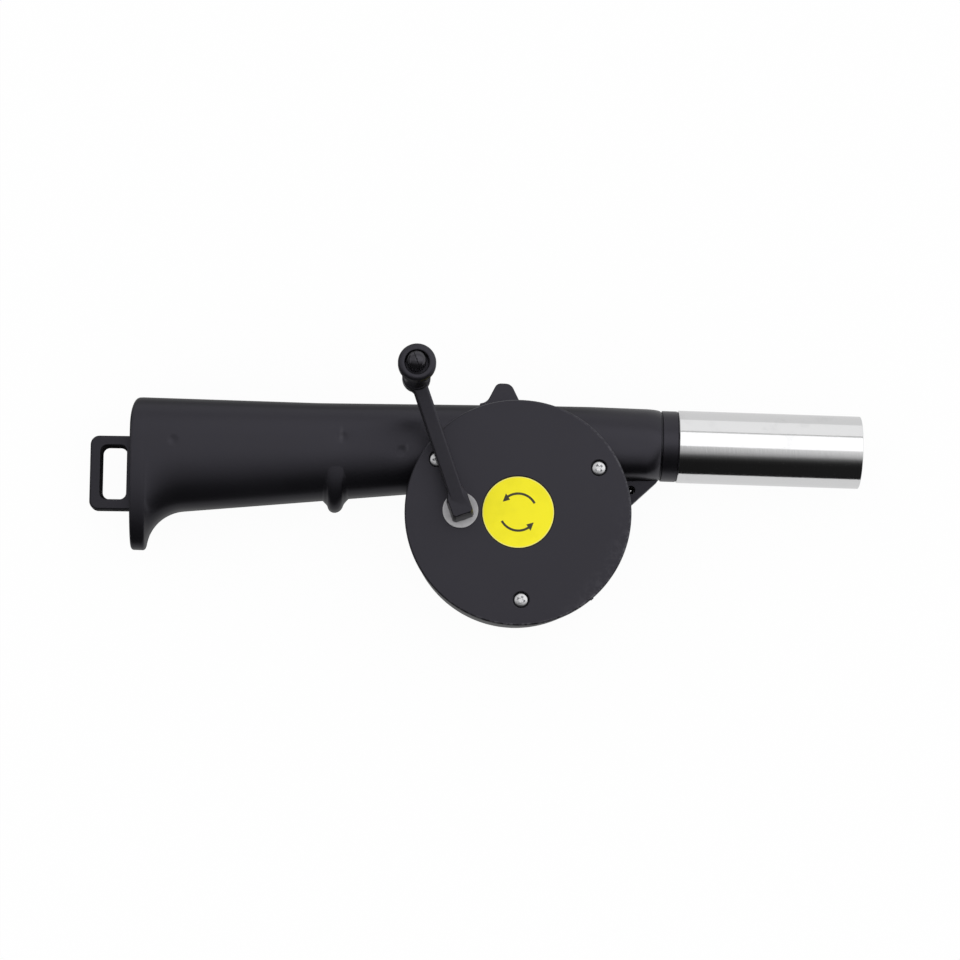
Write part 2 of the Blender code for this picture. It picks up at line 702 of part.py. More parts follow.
def duct_web():
    """Web that ties the duct's neck to the case, with a screw boss in it."""
    x, y = WEB_SCREW_PLACE
    foot = CASE_RADIUS - SEAT_GAP
    outline = [(NECK_X, DUCT_AXIS_Y - NECK_RADIUS + WALL), (NECK_X + SEAT_GAP, DUCT_AXIS_Y - DUCT_RADIUS),
               (foot * math.cos(WEB_FOOT_ANGLE), foot * math.sin(WEB_FOOT_ANGLE)),
               (CASE_RADIUS - WALL, WALL), (x - 2 * BOSS_RADIUS, y + BOSS_RADIUS + WALL)]
    web = extruded("duct_web", [outline], PARTING_Z - WEB_THICKNESS / 2, PARTING_Z + WEB_THICKNESS / 2)
    return join(web, cylinder("web_boss", BOSS_RADIUS, LUG_BOTTOM_Z, LUG_TOP_Z, (x, y)))


def loop_slot():
    """Slot in the butt's end wall that the loop's root passes through."""
    half = LOOP_THICKNESS / 2 + SEAT_GAP
    return box("loop_slot", (BUTT_X - WALL, LOOP_BOTTOM_Y - SEAT_GAP, PARTING_Z - half),
               (loop_head_x() + WALL, LOOP_BOTTOM_Y + LOOP_HEIGHT + SEAT_GAP, PARTING_Z + half))


def loop_head_x():
    """Where the loop's head starts, just inside the butt's leaning end wall."""
    lowest = LOOP_BOTTOM_Y - LOOP_HEAD_OVERLAP
    return BUTT_X + WALL + butt_lean(BUTT_X, lowest) + SEAT_GAP


def surface_depth(place):
    """Half depth of the body where a handle screw stands."""
    x, y = place
    top, middle, depth, square_top, square_bottom = body_section(x)
    square, reach = square_top, top - middle
    if y < middle:
        square, reach = square_bottom, middle - underside(x)
    share = min(abs(y - middle) / reach, 1.0)
    return depth * (1 - share ** square) ** (1 / square)


def make_shared_forms():
    """Outside and hollows that both shells are cut from."""
    outside = body_outside()
    join(outside, case_outside(), nozzle_root(), thumb_stop(), finger_rib(), duct_web())
    chamber = cylinder("fan_chamber", CHAMBER_RADIUS, WALL, PARTITION_Z, segments=ROUND)
    hollows = [handle_cavity(), duct_cavity(), chamber, nozzle_bore(), loop_slot()]
    return outside, hollows


def half_space(name, bottom, top):
    """Block that keeps one side of the parting plane."""
    reach = TUBE_X + TUBE_LENGTH - BUTT_X
    return box(name, (-reach, -reach, bottom), (reach, reach, top))


def front_shell(outside, hollows, material):
    """Front half: handle, duct, partition and gear pocket."""
    shell = half_space("front_shell", PARTING_Z + PARTING_GAP / 2, 2 * CASE_TOP_Z)
    keep(shell, outside)
    pocket = cylinder("gear_pocket", CHAMBER_RADIUS, POCKET_Z, COVER_TOP_Z, segments=ROUND)
    cut(shell, *hollows, pocket)
    for number, place in enumerate(HANDLE_SCREW_PLACES, 1):
        boss_top = PARTING_Z + surface_depth(place) - WALL / 2
        join(shell, cylinder(f"front_boss_{number}", BOSS_RADIUS, PARTING_Z + PARTING_GAP / 2, boss_top,
                             place))
    for number, place in enumerate(COVER_SCREW_PLACES, 1):
        join(shell, cover_boss(number, place))
    join(shell, *gear_pivots())
    for number, place in enumerate(SHELL_SCREW_PLACES, 1):
        tip = SHELL_SEAT_Z + SCREW_LENGTH + SCREW_TIP_ROOM
        cut(shell, cylinder(f"shell_pilot_{number}", SCREW_HOLE_RADIUS, PARTING_Z - WALL, tip, place,
                            segments=TINY_ROUND))
    for number, place in enumerate(COVER_SCREW_PLACES, 1):
        tip = COVER_TOP_Z - SCREW_RECESS_DEPTH - SCREW_LENGTH - SCREW_TIP_ROOM / 2
        cut(shell, cylinder(f"cover_pilot_{number}", SCREW_HOLE_RADIUS, tip, COVER_TOP_Z, place,
                            segments=TINY_ROUND))
    cut(shell, *pivot_bores())
    return finish(shell, material)


def cover_boss(number, place):
    """Screw boss in the gear pocket, tied to the case wall by a rib."""
    boss = cylinder(f"cover_boss_{number}", BOSS_RADIUS, POCKET_Z - WALL / 2, CASE_TOP_Z - PARTING_GAP,
                    place)
    reach = CASE_RADIUS - WALL / 2
    across = BOSS_WALL / 2
    rib = box(f"cover_boss_rib_{number}", (Vector(place).length, -across, POCKET_Z - WALL / 4),
              (reach, across, CASE_TOP_Z - WALL))
    rib_height = rib.location.z
    rib.matrix_world = Matrix.Rotation(math.atan2(place[1], place[0]), 4, "Z") @ Matrix.Translation(
        ((Vector(place).length + reach) / 2, 0.0, rib_height))
    return join(boss, rib)


def gear_pivots():
    """Bosses of the partition that carry the crank gear, the idler's pin and the fan's shaft."""
    top = PARTITION_Z + PARTITION_THICKNESS / 2
    cup = cylinder("crank_cup", CRANK_JOURNAL_RADIUS + RUN_GAP + BOSS_WALL, PIVOT_Z, top, CRANK_PLACE)
    pin = cylinder("idler_boss", IDLER_PIN_RADIUS + PRESS_GAP + BOSS_WALL, PIVOT_Z, top, IDLER_PLACE)
    shaft = cylinder("fan_boss", FAN_SHAFT_RADIUS + RUN_GAP + BOSS_WALL, PIVOT_Z,
                     IDLER_WHEEL_Z - GEAR_LAYER_GAP, FAN_PLACE)
    return [cup, pin, shaft]


def pivot_bores():
    """Bores of the three bosses on the partition."""
    floor = PIVOT_Z + CRANK_CUP_FLOOR
    crank = cylinder("crank_bore", CRANK_JOURNAL_RADIUS + RUN_GAP, floor, CRANK_GEAR_Z, CRANK_PLACE)
    pin = cylinder("idler_bore", IDLER_PIN_RADIUS + PRESS_GAP, floor, CRANK_GEAR_Z, IDLER_PLACE)
    shaft = cylinder("fan_bore", FAN_SHAFT_RADIUS + RUN_GAP, PIVOT_Z - WALL, GEAR_TOP_Z, FAN_PLACE)
    return [crank, pin, shaft]


def rear_shell(outside, hollows, material):
    """Rear half: handle, duct and the back of the fan case with its inlet slots."""
    shell = half_space("rear_shell", -WALL, PARTING_Z - PARTING_GAP / 2)
    keep(shell, outside)
    cut(shell, *hollows)
    for number, place in enumerate(HANDLE_SCREW_PLACES, 1):
        boss_bottom = PARTING_Z - surface_depth(place) + WALL / 2
        boss = cylinder(f"rear_boss_{number}", SCREW_RECESS_RADIUS + BOSS_WALL / 2, boss_bottom,
                        PARTING_Z - PARTING_GAP / 2, place)
        join(shell, boss)
    for number, place in enumerate(SHELL_SCREW_PLACES, 1):
        recess = cylinder(f"shell_recess_{number}", SCREW_RECESS_RADIUS, -WALL, SHELL_SEAT_Z, place)
        hole = cylinder(f"shell_hole_{number}", SCREW_HOLE_RADIUS, SHELL_SEAT_Z - WALL, PARTING_Z + WALL,
                        place, segments=TINY_ROUND)
        cut(shell, recess, hole)
    cut(shell, inlet_slots())
    return finish(shell, material)


def inlet_slots():
    """Ring of round-ended radial slots through the back of the case."""
    half = INLET_SLOT_WIDTH / 2
    inner, outer = INLET_INNER_RADIUS + half, INLET_OUTER_RADIUS - half
    slot = arc((outer, 0.0), half, -90, 90, 3) + arc((inner, 0.0), half, 90, 270, 3)
    outlines = []
    for i in range(INLET_SLOTS):
        angle = 2 * math.pi * i / INLET_SLOTS
        turn = Matrix.Rotation(angle, 2)
        outlines.append([tuple(turn @ Vector(point)) for point in slot])
    return extruded("inlet_slots", outlines, -WALL, 2 * WALL)


def gear_cover(material):
    """Round cover with recesses for its screws and badge, and bearings on its underside."""
    edge = COVER_EDGE
    profile = [(0.0, COVER_TOP_Z), (COVER_RADIUS - edge, COVER_TOP_Z),
               (COVER_RADIUS - edge / 3, COVER_TOP_Z - edge / 3), (COVER_RADIUS, COVER_TOP_Z - edge),
               (COVER_RADIUS, COVER_Z), (0.0, COVER_Z)]
    cover = turned("gear_cover", profile, segments=ROUND)
    pad_z = COVER_Z - COVER_PAD
    join(cover, cylinder("fan_pad", FAN_SHAFT_RADIUS + RUN_GAP + BOSS_WALL, pad_z, COVER_Z + WALL / 2),
         cylinder("idler_pad", IDLER_PIN_RADIUS + PRESS_GAP + BOSS_WALL, pad_z, COVER_Z + WALL / 2,
                  IDLER_PLACE))
    badge_floor = COVER_TOP_Z + BADGE_STANDS_OUT - BADGE_THICKNESS - SEAT_GAP
    cut(cover, cylinder("fan_blind", FAN_SHAFT_RADIUS + RUN_GAP, pad_z - WALL, BLIND_TOP_Z),
        cylinder("idler_blind", IDLER_PIN_RADIUS + PRESS_GAP, pad_z - WALL, BLIND_TOP_Z, IDLER_PLACE),
        cylinder("crank_hole", CRANK_SHAFT_RADIUS + RUN_GAP, pad_z, COVER_TOP_Z + WALL, CRANK_PLACE),
        cylinder("badge_recess", BADGE_RADIUS + SEAT_GAP, badge_floor, COVER_TOP_Z + WALL,
                 segments=ROUND))
    for number, place in enumerate(COVER_SCREW_PLACES, 1):
        recess = cylinder(f"cover_recess_{number}", SCREW_RECESS_RADIUS, COVER_TOP_Z - SCREW_RECESS_DEPTH,
                          COVER_TOP_Z + WALL, place)
        hole = cylinder(f"cover_hole_{number}", SCREW_HOLE_RADIUS, pad_z, COVER_TOP_Z, place,
                        segments=TINY_ROUND)
        cut(cover, recess, hole)
    return finish(cover, material)


def badge(material):
    """Thin round badge in the middle of the cover."""
    top = COVER_TOP_Z + BADGE_STANDS_OUT
    disc = cylinder("badge", BADGE_RADIUS, top - BADGE_THICKNESS, top, segments=ROUND)
    return finish(disc, material)


def screw(name, place, seat, outward, material):
    """Cross-head screw whose head stands on a seat and faces up (1) or down (-1)."""
    seat = seat + outward * SEAT_GAP
    head, dome = SCREW_HEAD_HEIGHT, SCREW_DOME
    radius, shank = SCREW_HEAD_RADIUS, SCREW_SHANK_RADIUS
    profile = [(0.0, head), (radius - dome, head - dome / 3), (radius, head - dome), (radius, 0.0),
               (shank, 0.0), (shank, SCREW_POINT - SCREW_LENGTH), (0.0, -SCREW_LENGTH)]
    body = turned(name, profile, place, segments=SMALL_ROUND)
    half, across, deep = CROSS_LENGTH / 2, CROSS_WIDTH / 2, head - CROSS_DEPTH
    one = box(f"{name}_cross_1", (-half, -across, deep), (half, across, head + WALL))
    two = box(f"{name}_cross_2", (-across, -half, deep), (across, half, head + WALL))
    join(one, two)
    flip = Matrix.Rotation(0.0 if outward > 0 else math.pi, 4, "X")
    stand = Matrix.Translation((place[0], place[1], seat)) @ flip
    body.matrix_world = stand
    level = one.location.z
    for tool in (one, two):
        tool.matrix_world = stand @ Matrix.Translation((0.0, 0.0, level))
    cut(body, one)
    return finish(body, material)


def nozzle_tube(material):
    """Thin steel tube over the spigot."""
    inner, outer, mouth = TUBE_RADIUS - TUBE_WALL, TUBE_RADIUS, TUBE_X + TUBE_LENGTH
    profile = [(inner, mouth), (outer, mouth), (outer, TUBE_X), (inner, TUBE_X)]
    tube = turned("nozzle_tube", profile, segments=HALF_ROUND)
    tube.rotation_euler.y = math.pi / 2
    tube.location = (0.0, DUCT_AXIS_Y, PARTING_Z)
    return finish(tube, material)


def hang_loop(material):
    """Rectangular loop whose root passes through the butt and ends in a wider head inside."""
    bottom, top = LOOP_BOTTOM_Y, LOOP_BOTTOM_Y + LOOP_HEIGHT
    outer_x = BUTT_X - LOOP_LENGTH
    wall_x = loop_head_x()
    corner = LOOP_CORNER
    frame = arc((outer_x + corner, top - corner), corner, 90, 180, 4)
    frame += arc((outer_x + corner, bottom + corner), corner, 180, 270, 4)
    frame += [(wall_x, bottom), (wall_x, bottom - LOOP_HEAD_OVERLAP),
              (wall_x + LOOP_HEAD_LENGTH, bottom - LOOP_HEAD_OVERLAP),
              (wall_x + LOOP_HEAD_LENGTH, top + LOOP_HEAD_OVERLAP), (wall_x, top + LOOP_HEAD_OVERLAP),
              (wall_x, top)]
    hole = rounded_rectangle((outer_x + LOOP_BAR, bottom + LOOP_BAR),
                             (BUTT_X - LOOP_ROOT, top - LOOP_BAR), LOOP_HOLE_CORNER, steps=3)
    loop = extruded("hang_loop", [frame, hole], PARTING_Z - LOOP_THICKNESS / 2,
                    PARTING_Z + LOOP_THICKNESS / 2)
    return finish(bevelled(loop, LOOP_BEVEL, 1), material)


def gear_outline(teeth, phase=0.0):
    """Outline of a spur gear with involute flanks and a tooth at the angle phase."""
    pitch = pitch_radius(teeth)
    base = pitch * math.cos(PRESSURE_ANGLE)
    root, tip = pitch - DEDENDUM, pitch + ADDENDUM
    start = max(base, root)
    half_tooth = (math.pi * MODULE / 2 - BACKLASH) / 2 / pitch

    def involute(radius):
        angle = math.acos(min(base / radius, 1.0))
        return math.tan(angle) - angle

    flank = []
    if root < base:
        flank.append((root, half_tooth + involute(pitch)))
    for i in range(FLANK_POINTS):
        radius = start + (tip - start) * i / (FLANK_POINTS - 1)
        flank.append((radius, half_tooth + involute(pitch) - involute(radius)))
    points = []
    for tooth in range(teeth):
        centre = phase + 2 * math.pi * tooth / teeth
        for radius, half in flank:
            points.append((radius * math.cos(centre - half), radius * math.sin(centre - half)))
        for radius, half in reversed(flank):
            points.append((radius * math.cos(centre + half), radius * math.sin(centre + half)))
    return points


def gear(name, teeth, phase, bottom, top, place):
    """Toothed disc between two levels."""
    disc = extruded(name, [gear_outline(teeth, phase)], bottom, top)
    disc.location.x, disc.location.y = place[0], place[1]
    return disc


def crank_gear(material, parent):
    """Crank's gear with its shaft through the cover and the square spigot for the crank."""
    wheel = gear("crank_gear", CRANK_TEETH, 0.0, CRANK_GEAR_Z, CRANK_GEAR_Z + CRANK_GEAR_THICKNESS,
                 CRANK_PLACE)
    shaft_top = HUB_Z - SEAT_GAP
    foot = PIVOT_Z + CRANK_CUP_FLOOR + SEAT_GAP
    profile = [(0.0, shaft_top), (CRANK_SHAFT_RADIUS, shaft_top), (CRANK_SHAFT_RADIUS, CRANK_GEAR_Z + WALL),
               (CRANK_JOURNAL_RADIUS, CRANK_GEAR_Z + WALL), (CRANK_JOURNAL_RADIUS, foot), (0.0, foot)]
    shaft = turned("crank_shaft", profile, CRANK_PLACE)
    half = SPIGOT_SIDE / 2
    square = box("crank_square", (-half, -half, shaft_top - WALL), (half, half, HUB_Z + SPIGOT_HEIGHT))
    square.rotation_euler.z = CRANK_ANGLE
    square.location.x, square.location.y = CRANK_PLACE
    join(wheel, shaft, square)
    return finish(wheel, material, parent)


def idler_gear(material, parent):
    """Compound gear: small pinion under a large wheel."""
    wheel = gear("idler_gear", IDLER_WHEEL_TEETH, 0.0, IDLER_WHEEL_Z, GEAR_TOP_Z, IDLER_PLACE)
    pinion = gear("idler_pinion", IDLER_PINION_TEETH, IDLER_PINION_PHASE, CRANK_GEAR_Z,
                  IDLER_WHEEL_Z + WALL / 2, IDLER_PLACE)
    foot_radius = pitch_radius(IDLER_PINION_TEETH) - DEDENDUM - IDLER_FOOT_STEP
    foot = cylinder("idler_foot", foot_radius, POCKET_Z + SEAT_GAP, CRANK_GEAR_Z + WALL, IDLER_PLACE)
    join(wheel, pinion, foot)
    cut(wheel, cylinder("idler_gear_bore", IDLER_PIN_RADIUS + RUN_GAP, POCKET_Z, CASE_TOP_Z, IDLER_PLACE))
    return finish(wheel, material, parent)


def idler_pin(material):
    """Steel pin between the partition and the cover."""
    pin = cylinder("idler_pin", IDLER_PIN_RADIUS, PIVOT_Z + CRANK_CUP_FLOOR + SEAT_GAP,
                   BLIND_TOP_Z - SEAT_GAP, IDLER_PLACE)
    return finish(pin, material)


def fan_pinion(material, parent):
    """Last pinion, pressed on the fan's shaft."""
    pinion = gear("fan_pinion", FAN_TEETH, FAN_PHASE, IDLER_WHEEL_Z, GEAR_TOP_Z, FAN_PLACE)
    cut(pinion, cylinder("fan_pinion_bore", FAN_SHAFT_RADIUS + PRESS_GAP, POCKET_Z, CASE_TOP_Z))
    return finish(pinion, material, parent)


def fan_shaft(material, parent):
    """Steel shaft from the impeller's hub to the cover."""
    shaft = cylinder("fan_shaft", FAN_SHAFT_RADIUS, BLADE_Z + FAN_SHAFT_END + SEAT_GAP,
                     BLIND_TOP_Z - SEAT_GAP)
    return finish(shaft, material, parent)


def impeller(material, parent):
    """Centrifugal wheel: hub, front plate and swept blades."""
    plate_top = FAN_PLATE_Z + FAN_PLATE
    profile = [(0.0, plate_top), (FAN_RADIUS, plate_top), (FAN_RADIUS, FAN_PLATE_Z),
               (FAN_HUB_RADIUS, FAN_PLATE_Z), (FAN_HUB_RADIUS, BLADE_Z), (0.0, BLADE_Z)]
    wheel = turned("impeller", profile, segments=HALF_ROUND)
    outlines = [blade_outline(2 * math.pi * i / BLADES) for i in range(BLADES)]
    blades = extruded("fan_blades", outlines, BLADE_Z, FAN_PLATE_Z + FAN_PLATE / 2)
    join(wheel, blades)
    cut(wheel, cylinder("impeller_bore", FAN_SHAFT_RADIUS + PRESS_GAP, BLADE_Z + FAN_SHAFT_END,
                        plate_top + WALL))
    return finish(wheel, material, parent)


def blade_outline(angle):
    """Outline of one blade that sweeps back from the hub to the rim."""
    steps = 4
    outer, inner = [], []
    for i in range(steps + 1):
        share = i / steps
        radius = BLADE_INNER_RADIUS + (FAN_RADIUS - BLADE_TIP_INSET - BLADE_INNER_RADIUS) * share
        turn = angle + BLADE_SWEEP * share ** BLADE_CURL
        half = BLADE_THICKNESS / 2 / radius
        outer.append((radius * math.cos(turn + half), radius * math.sin(turn + half)))
        inner.append((radius * math.cos(turn - half), radius * math.sin(turn - half)))
    return inner + outer[::-1]


def crank_washer(material, parent):
    """Washer between the cover and the crank's hub."""
    inner = CRANK_SHAFT_RADIUS + RUN_GAP
    profile = [(inner, WASHER_Z + WASHER_THICKNESS), (WASHER_RADIUS, WASHER_Z + WASHER_THICKNESS),
               (WASHER_RADIUS, WASHER_Z), (inner, WASHER_Z)]
    return finish(turned("crank_washer", profile, CRANK_PLACE, segments=HALF_ROUND), material, parent)


def arm_frame():
    """Place of the arm's own frame: along the arm, across it and up."""
    return Matrix.Translation((*CRANK_PLACE, 0.0)) @ Matrix.Rotation(CRANK_ANGLE, 4, "Z")


def crank_arm(material, parent):
    """Hub, rising arm, outer boss and the split peg that carries the knob, moulded in one."""
    arm = loft("crank_arm", [hub_ring(HUB_WIDTH, HUB_BACK, HUB_Z),
                             hub_ring(HUB_TOP_WIDTH, HUB_TOP_BACK, HUB_TOP_Z)])
    bevelled(arm, HUB_EDGE, 2)
    arm.matrix_world = arm_frame()
    socket_half = SPIGOT_SIDE / 2 + RUN_GAP
    socket = box("crank_socket", (-socket_half, -socket_half, HUB_Z - WALL),
                 (socket_half, socket_half, HUB_Z + SPIGOT_HEIGHT + SEAT_GAP))
    socket.matrix_world = arm_frame() @ Matrix.Translation(socket.location)
    join(arm, crank_beam(), arm_gusset(), snap_peg())
    cut(arm, socket)
    return finish(arm, material, parent)


def hub_ring(width, back, height):
    """Outline of the crank's hub, cut off at its back corners and drawn in to the arm."""
    half, inner = width / 2, ARM_WIDTH / 2
    outline = [(-back, HUB_CORNER - half), (-back, half - HUB_CORNER), (HUB_CORNER - back, half),
               (HUB_FRONT - HUB_SHOULDER, half), (HUB_FRONT, inner), (HUB_FRONT, -inner),
               (HUB_FRONT - HUB_SHOULDER, -half), (HUB_CORNER - back, -half)]
    return [(x, y, height) for x, y in outline]


def crank_beam():
    """Bar that rises from the hub to the outer boss."""
    side_view = [(0.0, HUB_TOP_Z - ARM_THICKNESS), (CRANK_LENGTH, ARM_TOP_Z - ARM_THICKNESS),
                 (CRANK_LENGTH, ARM_TOP_Z), (0.0, HUB_TOP_Z - SEAT_GAP)]
    beam = extruded("crank_beam", [side_view], -ARM_WIDTH / 2, ARM_WIDTH / 2)
    bevelled(beam, ARM_EDGE, 2)
    beam.matrix_world = arm_frame() @ Matrix.Rotation(math.pi / 2, 4, "X")
    return beam


def arm_gusset():
    """Gusset that leads one side of the bar out to the boss, as a tangent to it."""
    back = PIN_BOSS_RADIUS + GUSSET_LENGTH
    side = (ARM_WIDTH - ARM_EDGE) / 2
    touch = math.atan2(side, -back) - math.acos(PIN_BOSS_RADIUS / math.hypot(back, side))
    start = CRANK_LENGTH - back
    outline = [(start, 0.0), (CRANK_LENGTH, 0.0),
               (CRANK_LENGTH + PIN_BOSS_RADIUS * math.cos(touch), PIN_BOSS_RADIUS * math.sin(touch)),
               (start, side)]
    drop = ARM_RISE * back / CRANK_LENGTH
    gusset = extruded("arm_gusset", [outline], ARM_TOP_Z - ARM_THICKNESS + ARM_EDGE,
                      ARM_TOP_Z - drop - ARM_EDGE / 2)
    gusset.matrix_world = arm_frame() @ Matrix.Translation(gusset.location)
    return gusset


def snap_peg():
    """Outer boss with the peg whose split head keeps the knob on."""
    boss_top = ARM_TOP_Z + SEAT_GAP
    boss_z, edge = boss_top - PIN_BOSS_HEIGHT, PIN_BOSS_EDGE
    peg_top = KNOB_TOP_Z + PEG_STANDS_OUT
    head_z = KNOB_RECESS_Z + SEAT_GAP
    profile = [(0.0, peg_top), (PEG_HEAD_RADIUS - PEG_HEAD_TAPER, peg_top),
               (PEG_HEAD_RADIUS, peg_top - PEG_HEAD_TAPER), (PEG_HEAD_RADIUS, head_z),
               (PEG_RADIUS, head_z), (PEG_RADIUS, boss_top), (PIN_BOSS_RADIUS - edge, boss_top),
               (PIN_BOSS_RADIUS, boss_top - edge), (PIN_BOSS_RADIUS, boss_z + edge),
               (PIN_BOSS_RADIUS - edge, boss_z), (0.0, boss_z)]
    peg = turned("crank_peg", profile, PIN_PLACE, segments=PEG_ROUND)
    side, reach = PEG_HEAD_SIDE / 2, 2 * PEG_HEAD_RADIUS
    above = peg_top + WALL
    tools = [box("peg_flat_1", (-reach, side, head_z - SEAT_GAP / 2), (reach, reach, above)),
             box("peg_flat_2", (-reach, -reach, head_z - SEAT_GAP / 2), (reach, -side, above)),
             box("peg_split", (-reach, -PEG_SPLIT / 2, peg_top - PEG_SPLIT_DEPTH),
                 (reach, PEG_SPLIT / 2, above))]
    for tool in tools:
        offset = Matrix.Translation(tool.location)
        tool.matrix_world = arm_frame() @ Matrix.Translation((CRANK_LENGTH, 0.0, 0.0)) @ offset
    return cut(peg, *tools)


def crank_knob(material, parent):
    """Turned knob with a flange at its outer end and a recess for the snap head."""
    recess = PEG_HEAD_RADIUS + KNOB_PLAY
    bore = PEG_RADIUS + KNOB_PLAY
    flange, rounding = KNOB_FLANGE_RADIUS, KNOB_FLANGE_ROUNDING
    flange_z = KNOB_TOP_Z - KNOB_FLANGE_LENGTH
    profile = [(recess, KNOB_TOP_Z - KNOB_LIP), (recess + KNOB_LIP, KNOB_TOP_Z)]
    profile += arc((flange - rounding, KNOB_TOP_Z - rounding), rounding, 90, 0, 2)
    profile += [(flange, flange_z + KNOB_FLANGE_EDGE), (flange - KNOB_FLANGE_EDGE, flange_z),
                (KNOB_RADIUS + KNOB_NECK_STEP, flange_z - 2 * KNOB_NECK_STEP),
                (KNOB_WAIST_RADIUS, KNOB_Z + KNOB_WAIST_RISE), (KNOB_RADIUS, KNOB_Z + KNOB_FOOT_EDGE),
                (KNOB_RADIUS - KNOB_FOOT_EDGE, KNOB_Z), (bore, KNOB_Z), (bore, KNOB_RECESS_Z),
                (recess, KNOB_RECESS_Z)]
    return finish(turned("crank_knob", profile, PIN_PLACE, segments=PEG_ROUND), material, parent)


def main():
    """Build every piece of the blower."""
    black = new_material("black_plastic", (0.035, 0.035, 0.04), 0.45)
    steel = new_material("polished_steel", (0.75, 0.75, 0.76), 0.12, 1.0)
    zinc = new_material("zinc_plate", (0.7, 0.7, 0.68), 0.3, 1.0)
    yellow = new_material("yellow_badge", (0.9, 0.78, 0.03), 0.4)
    grey = new_material("washer_nylon", (0.72, 0.73, 0.75), 0.4)
    nylon = new_material("gear_nylon", (0.82, 0.8, 0.72), 0.5)

    outside, hollows = make_shared_forms()
    front_shell(outside, hollows, black)
    rear_shell(outside, hollows, black)
    gear_cover(black)
    badge(yellow)
    for number, place in enumerate(COVER_SCREW_PLACES, 1):
        screw(f"cover_screw_{number}", place, COVER_TOP_Z - SCREW_RECESS_DEPTH, 1, zinc)
    for number, place in enumerate(SHELL_SCREW_PLACES, 1):
        screw(f"shell_screw_{number}", place, SHELL_SEAT_Z, -1, zinc)
    nozzle_tube(steel)
    hang_loop(black)
    idler_pin(steel)

    crank = axle("crank_axis", CRANK_PLACE)
    knob = axle("knob_axis", PIN_PLACE, crank)
    idler = axle("idler_axis", IDLER_PLACE)
    fan = axle("fan_axis", FAN_PLACE)
    crank_gear(nylon, crank)
    crank_washer(grey, crank)
    crank_arm(black, crank)
    crank_knob(black, knob)
    idler_gear(nylon, idler)
    fan_pinion(nylon, fan)
    fan_shaft(steel, fan)
    impeller(black, fan)


clear_scene()
PIECES = new_collection("barbecue_blower")
CUTTERS = new_collection("cutters")
main()
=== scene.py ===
"""Looks of a hand-cranked barbecue blower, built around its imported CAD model.

Each class is one sub-assembly or one finish of the blower. Lengths are metres in the CAD model's
frame: the blower lies on its back, +X points to the nozzle's mouth and +Z out of the gear cover.
"""

import functools
import json
import logging
import math
from collections.abc import Sequence
from dataclasses import dataclass, replace
from enum import Enum
from typing import Any, NamedTuple

import bmesh
import bpy
from mathutils import Matrix, Vector

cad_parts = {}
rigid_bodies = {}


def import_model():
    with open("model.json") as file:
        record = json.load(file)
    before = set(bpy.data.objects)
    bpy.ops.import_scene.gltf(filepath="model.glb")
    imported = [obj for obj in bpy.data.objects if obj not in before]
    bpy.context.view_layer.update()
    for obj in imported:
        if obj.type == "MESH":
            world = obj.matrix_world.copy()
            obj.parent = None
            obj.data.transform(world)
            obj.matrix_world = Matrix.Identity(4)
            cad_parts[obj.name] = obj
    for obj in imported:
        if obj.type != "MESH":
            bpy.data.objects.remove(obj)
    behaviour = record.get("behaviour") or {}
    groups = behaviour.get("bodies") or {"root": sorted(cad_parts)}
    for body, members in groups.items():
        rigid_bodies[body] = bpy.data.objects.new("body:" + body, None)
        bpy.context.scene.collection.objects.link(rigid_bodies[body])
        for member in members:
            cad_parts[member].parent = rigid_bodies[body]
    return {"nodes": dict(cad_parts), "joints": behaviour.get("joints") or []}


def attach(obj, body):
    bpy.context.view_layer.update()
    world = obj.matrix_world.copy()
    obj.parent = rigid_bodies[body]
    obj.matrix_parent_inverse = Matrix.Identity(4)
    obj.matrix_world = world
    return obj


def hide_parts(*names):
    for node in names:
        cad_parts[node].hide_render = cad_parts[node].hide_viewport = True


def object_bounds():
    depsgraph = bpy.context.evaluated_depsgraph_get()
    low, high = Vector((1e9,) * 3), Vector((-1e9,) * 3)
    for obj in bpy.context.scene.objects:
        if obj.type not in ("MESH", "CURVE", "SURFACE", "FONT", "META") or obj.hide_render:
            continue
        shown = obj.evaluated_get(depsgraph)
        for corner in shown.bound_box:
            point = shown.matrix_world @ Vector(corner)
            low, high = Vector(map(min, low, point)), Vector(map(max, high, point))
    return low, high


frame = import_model()
CAD_LOW, CAD_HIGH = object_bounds()

LOG = logging.getLogger("blower")
MM = 0.001
SHARP_ANGLE = math.radians(32)
SLIVER = 0.015 * MM

Item = bpy.types.Object
Point = tuple[float, float]
Spot = tuple[float, float, float]
Ring = list[Spot]
Colour = tuple[float, float, float]
Rows = Sequence[Sequence[Spot]]
Inputs = dict[str | int, Any]
WHITE: Colour = (1.0, 1.0, 1.0)


class Body(Enum):
    """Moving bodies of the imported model."""

    HOUSING = "housing"
    CRANK = "crank"
    KNOB = "knob"
    IDLER = "idler"
    FAN = "fan"


class Slot(Enum):
    """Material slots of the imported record."""

    HOUSING = "housing"
    COVER = "cover"
    BADGE = "badge"
    SCREW = "screw"
    TUBE = "tube"
    LOOP = "loop"
    SHAFT = "shaft"
    GEAR = "gear"
    WASHER = "washer"
    CRANK = "crank"
    KNOB = "knob"
    FAN = "fan"


class Fusion(Enum):
    """Ways in which two solids are combined."""

    JOIN = "UNION"
    CUT = "DIFFERENCE"
    KEEP = "INTERSECT"


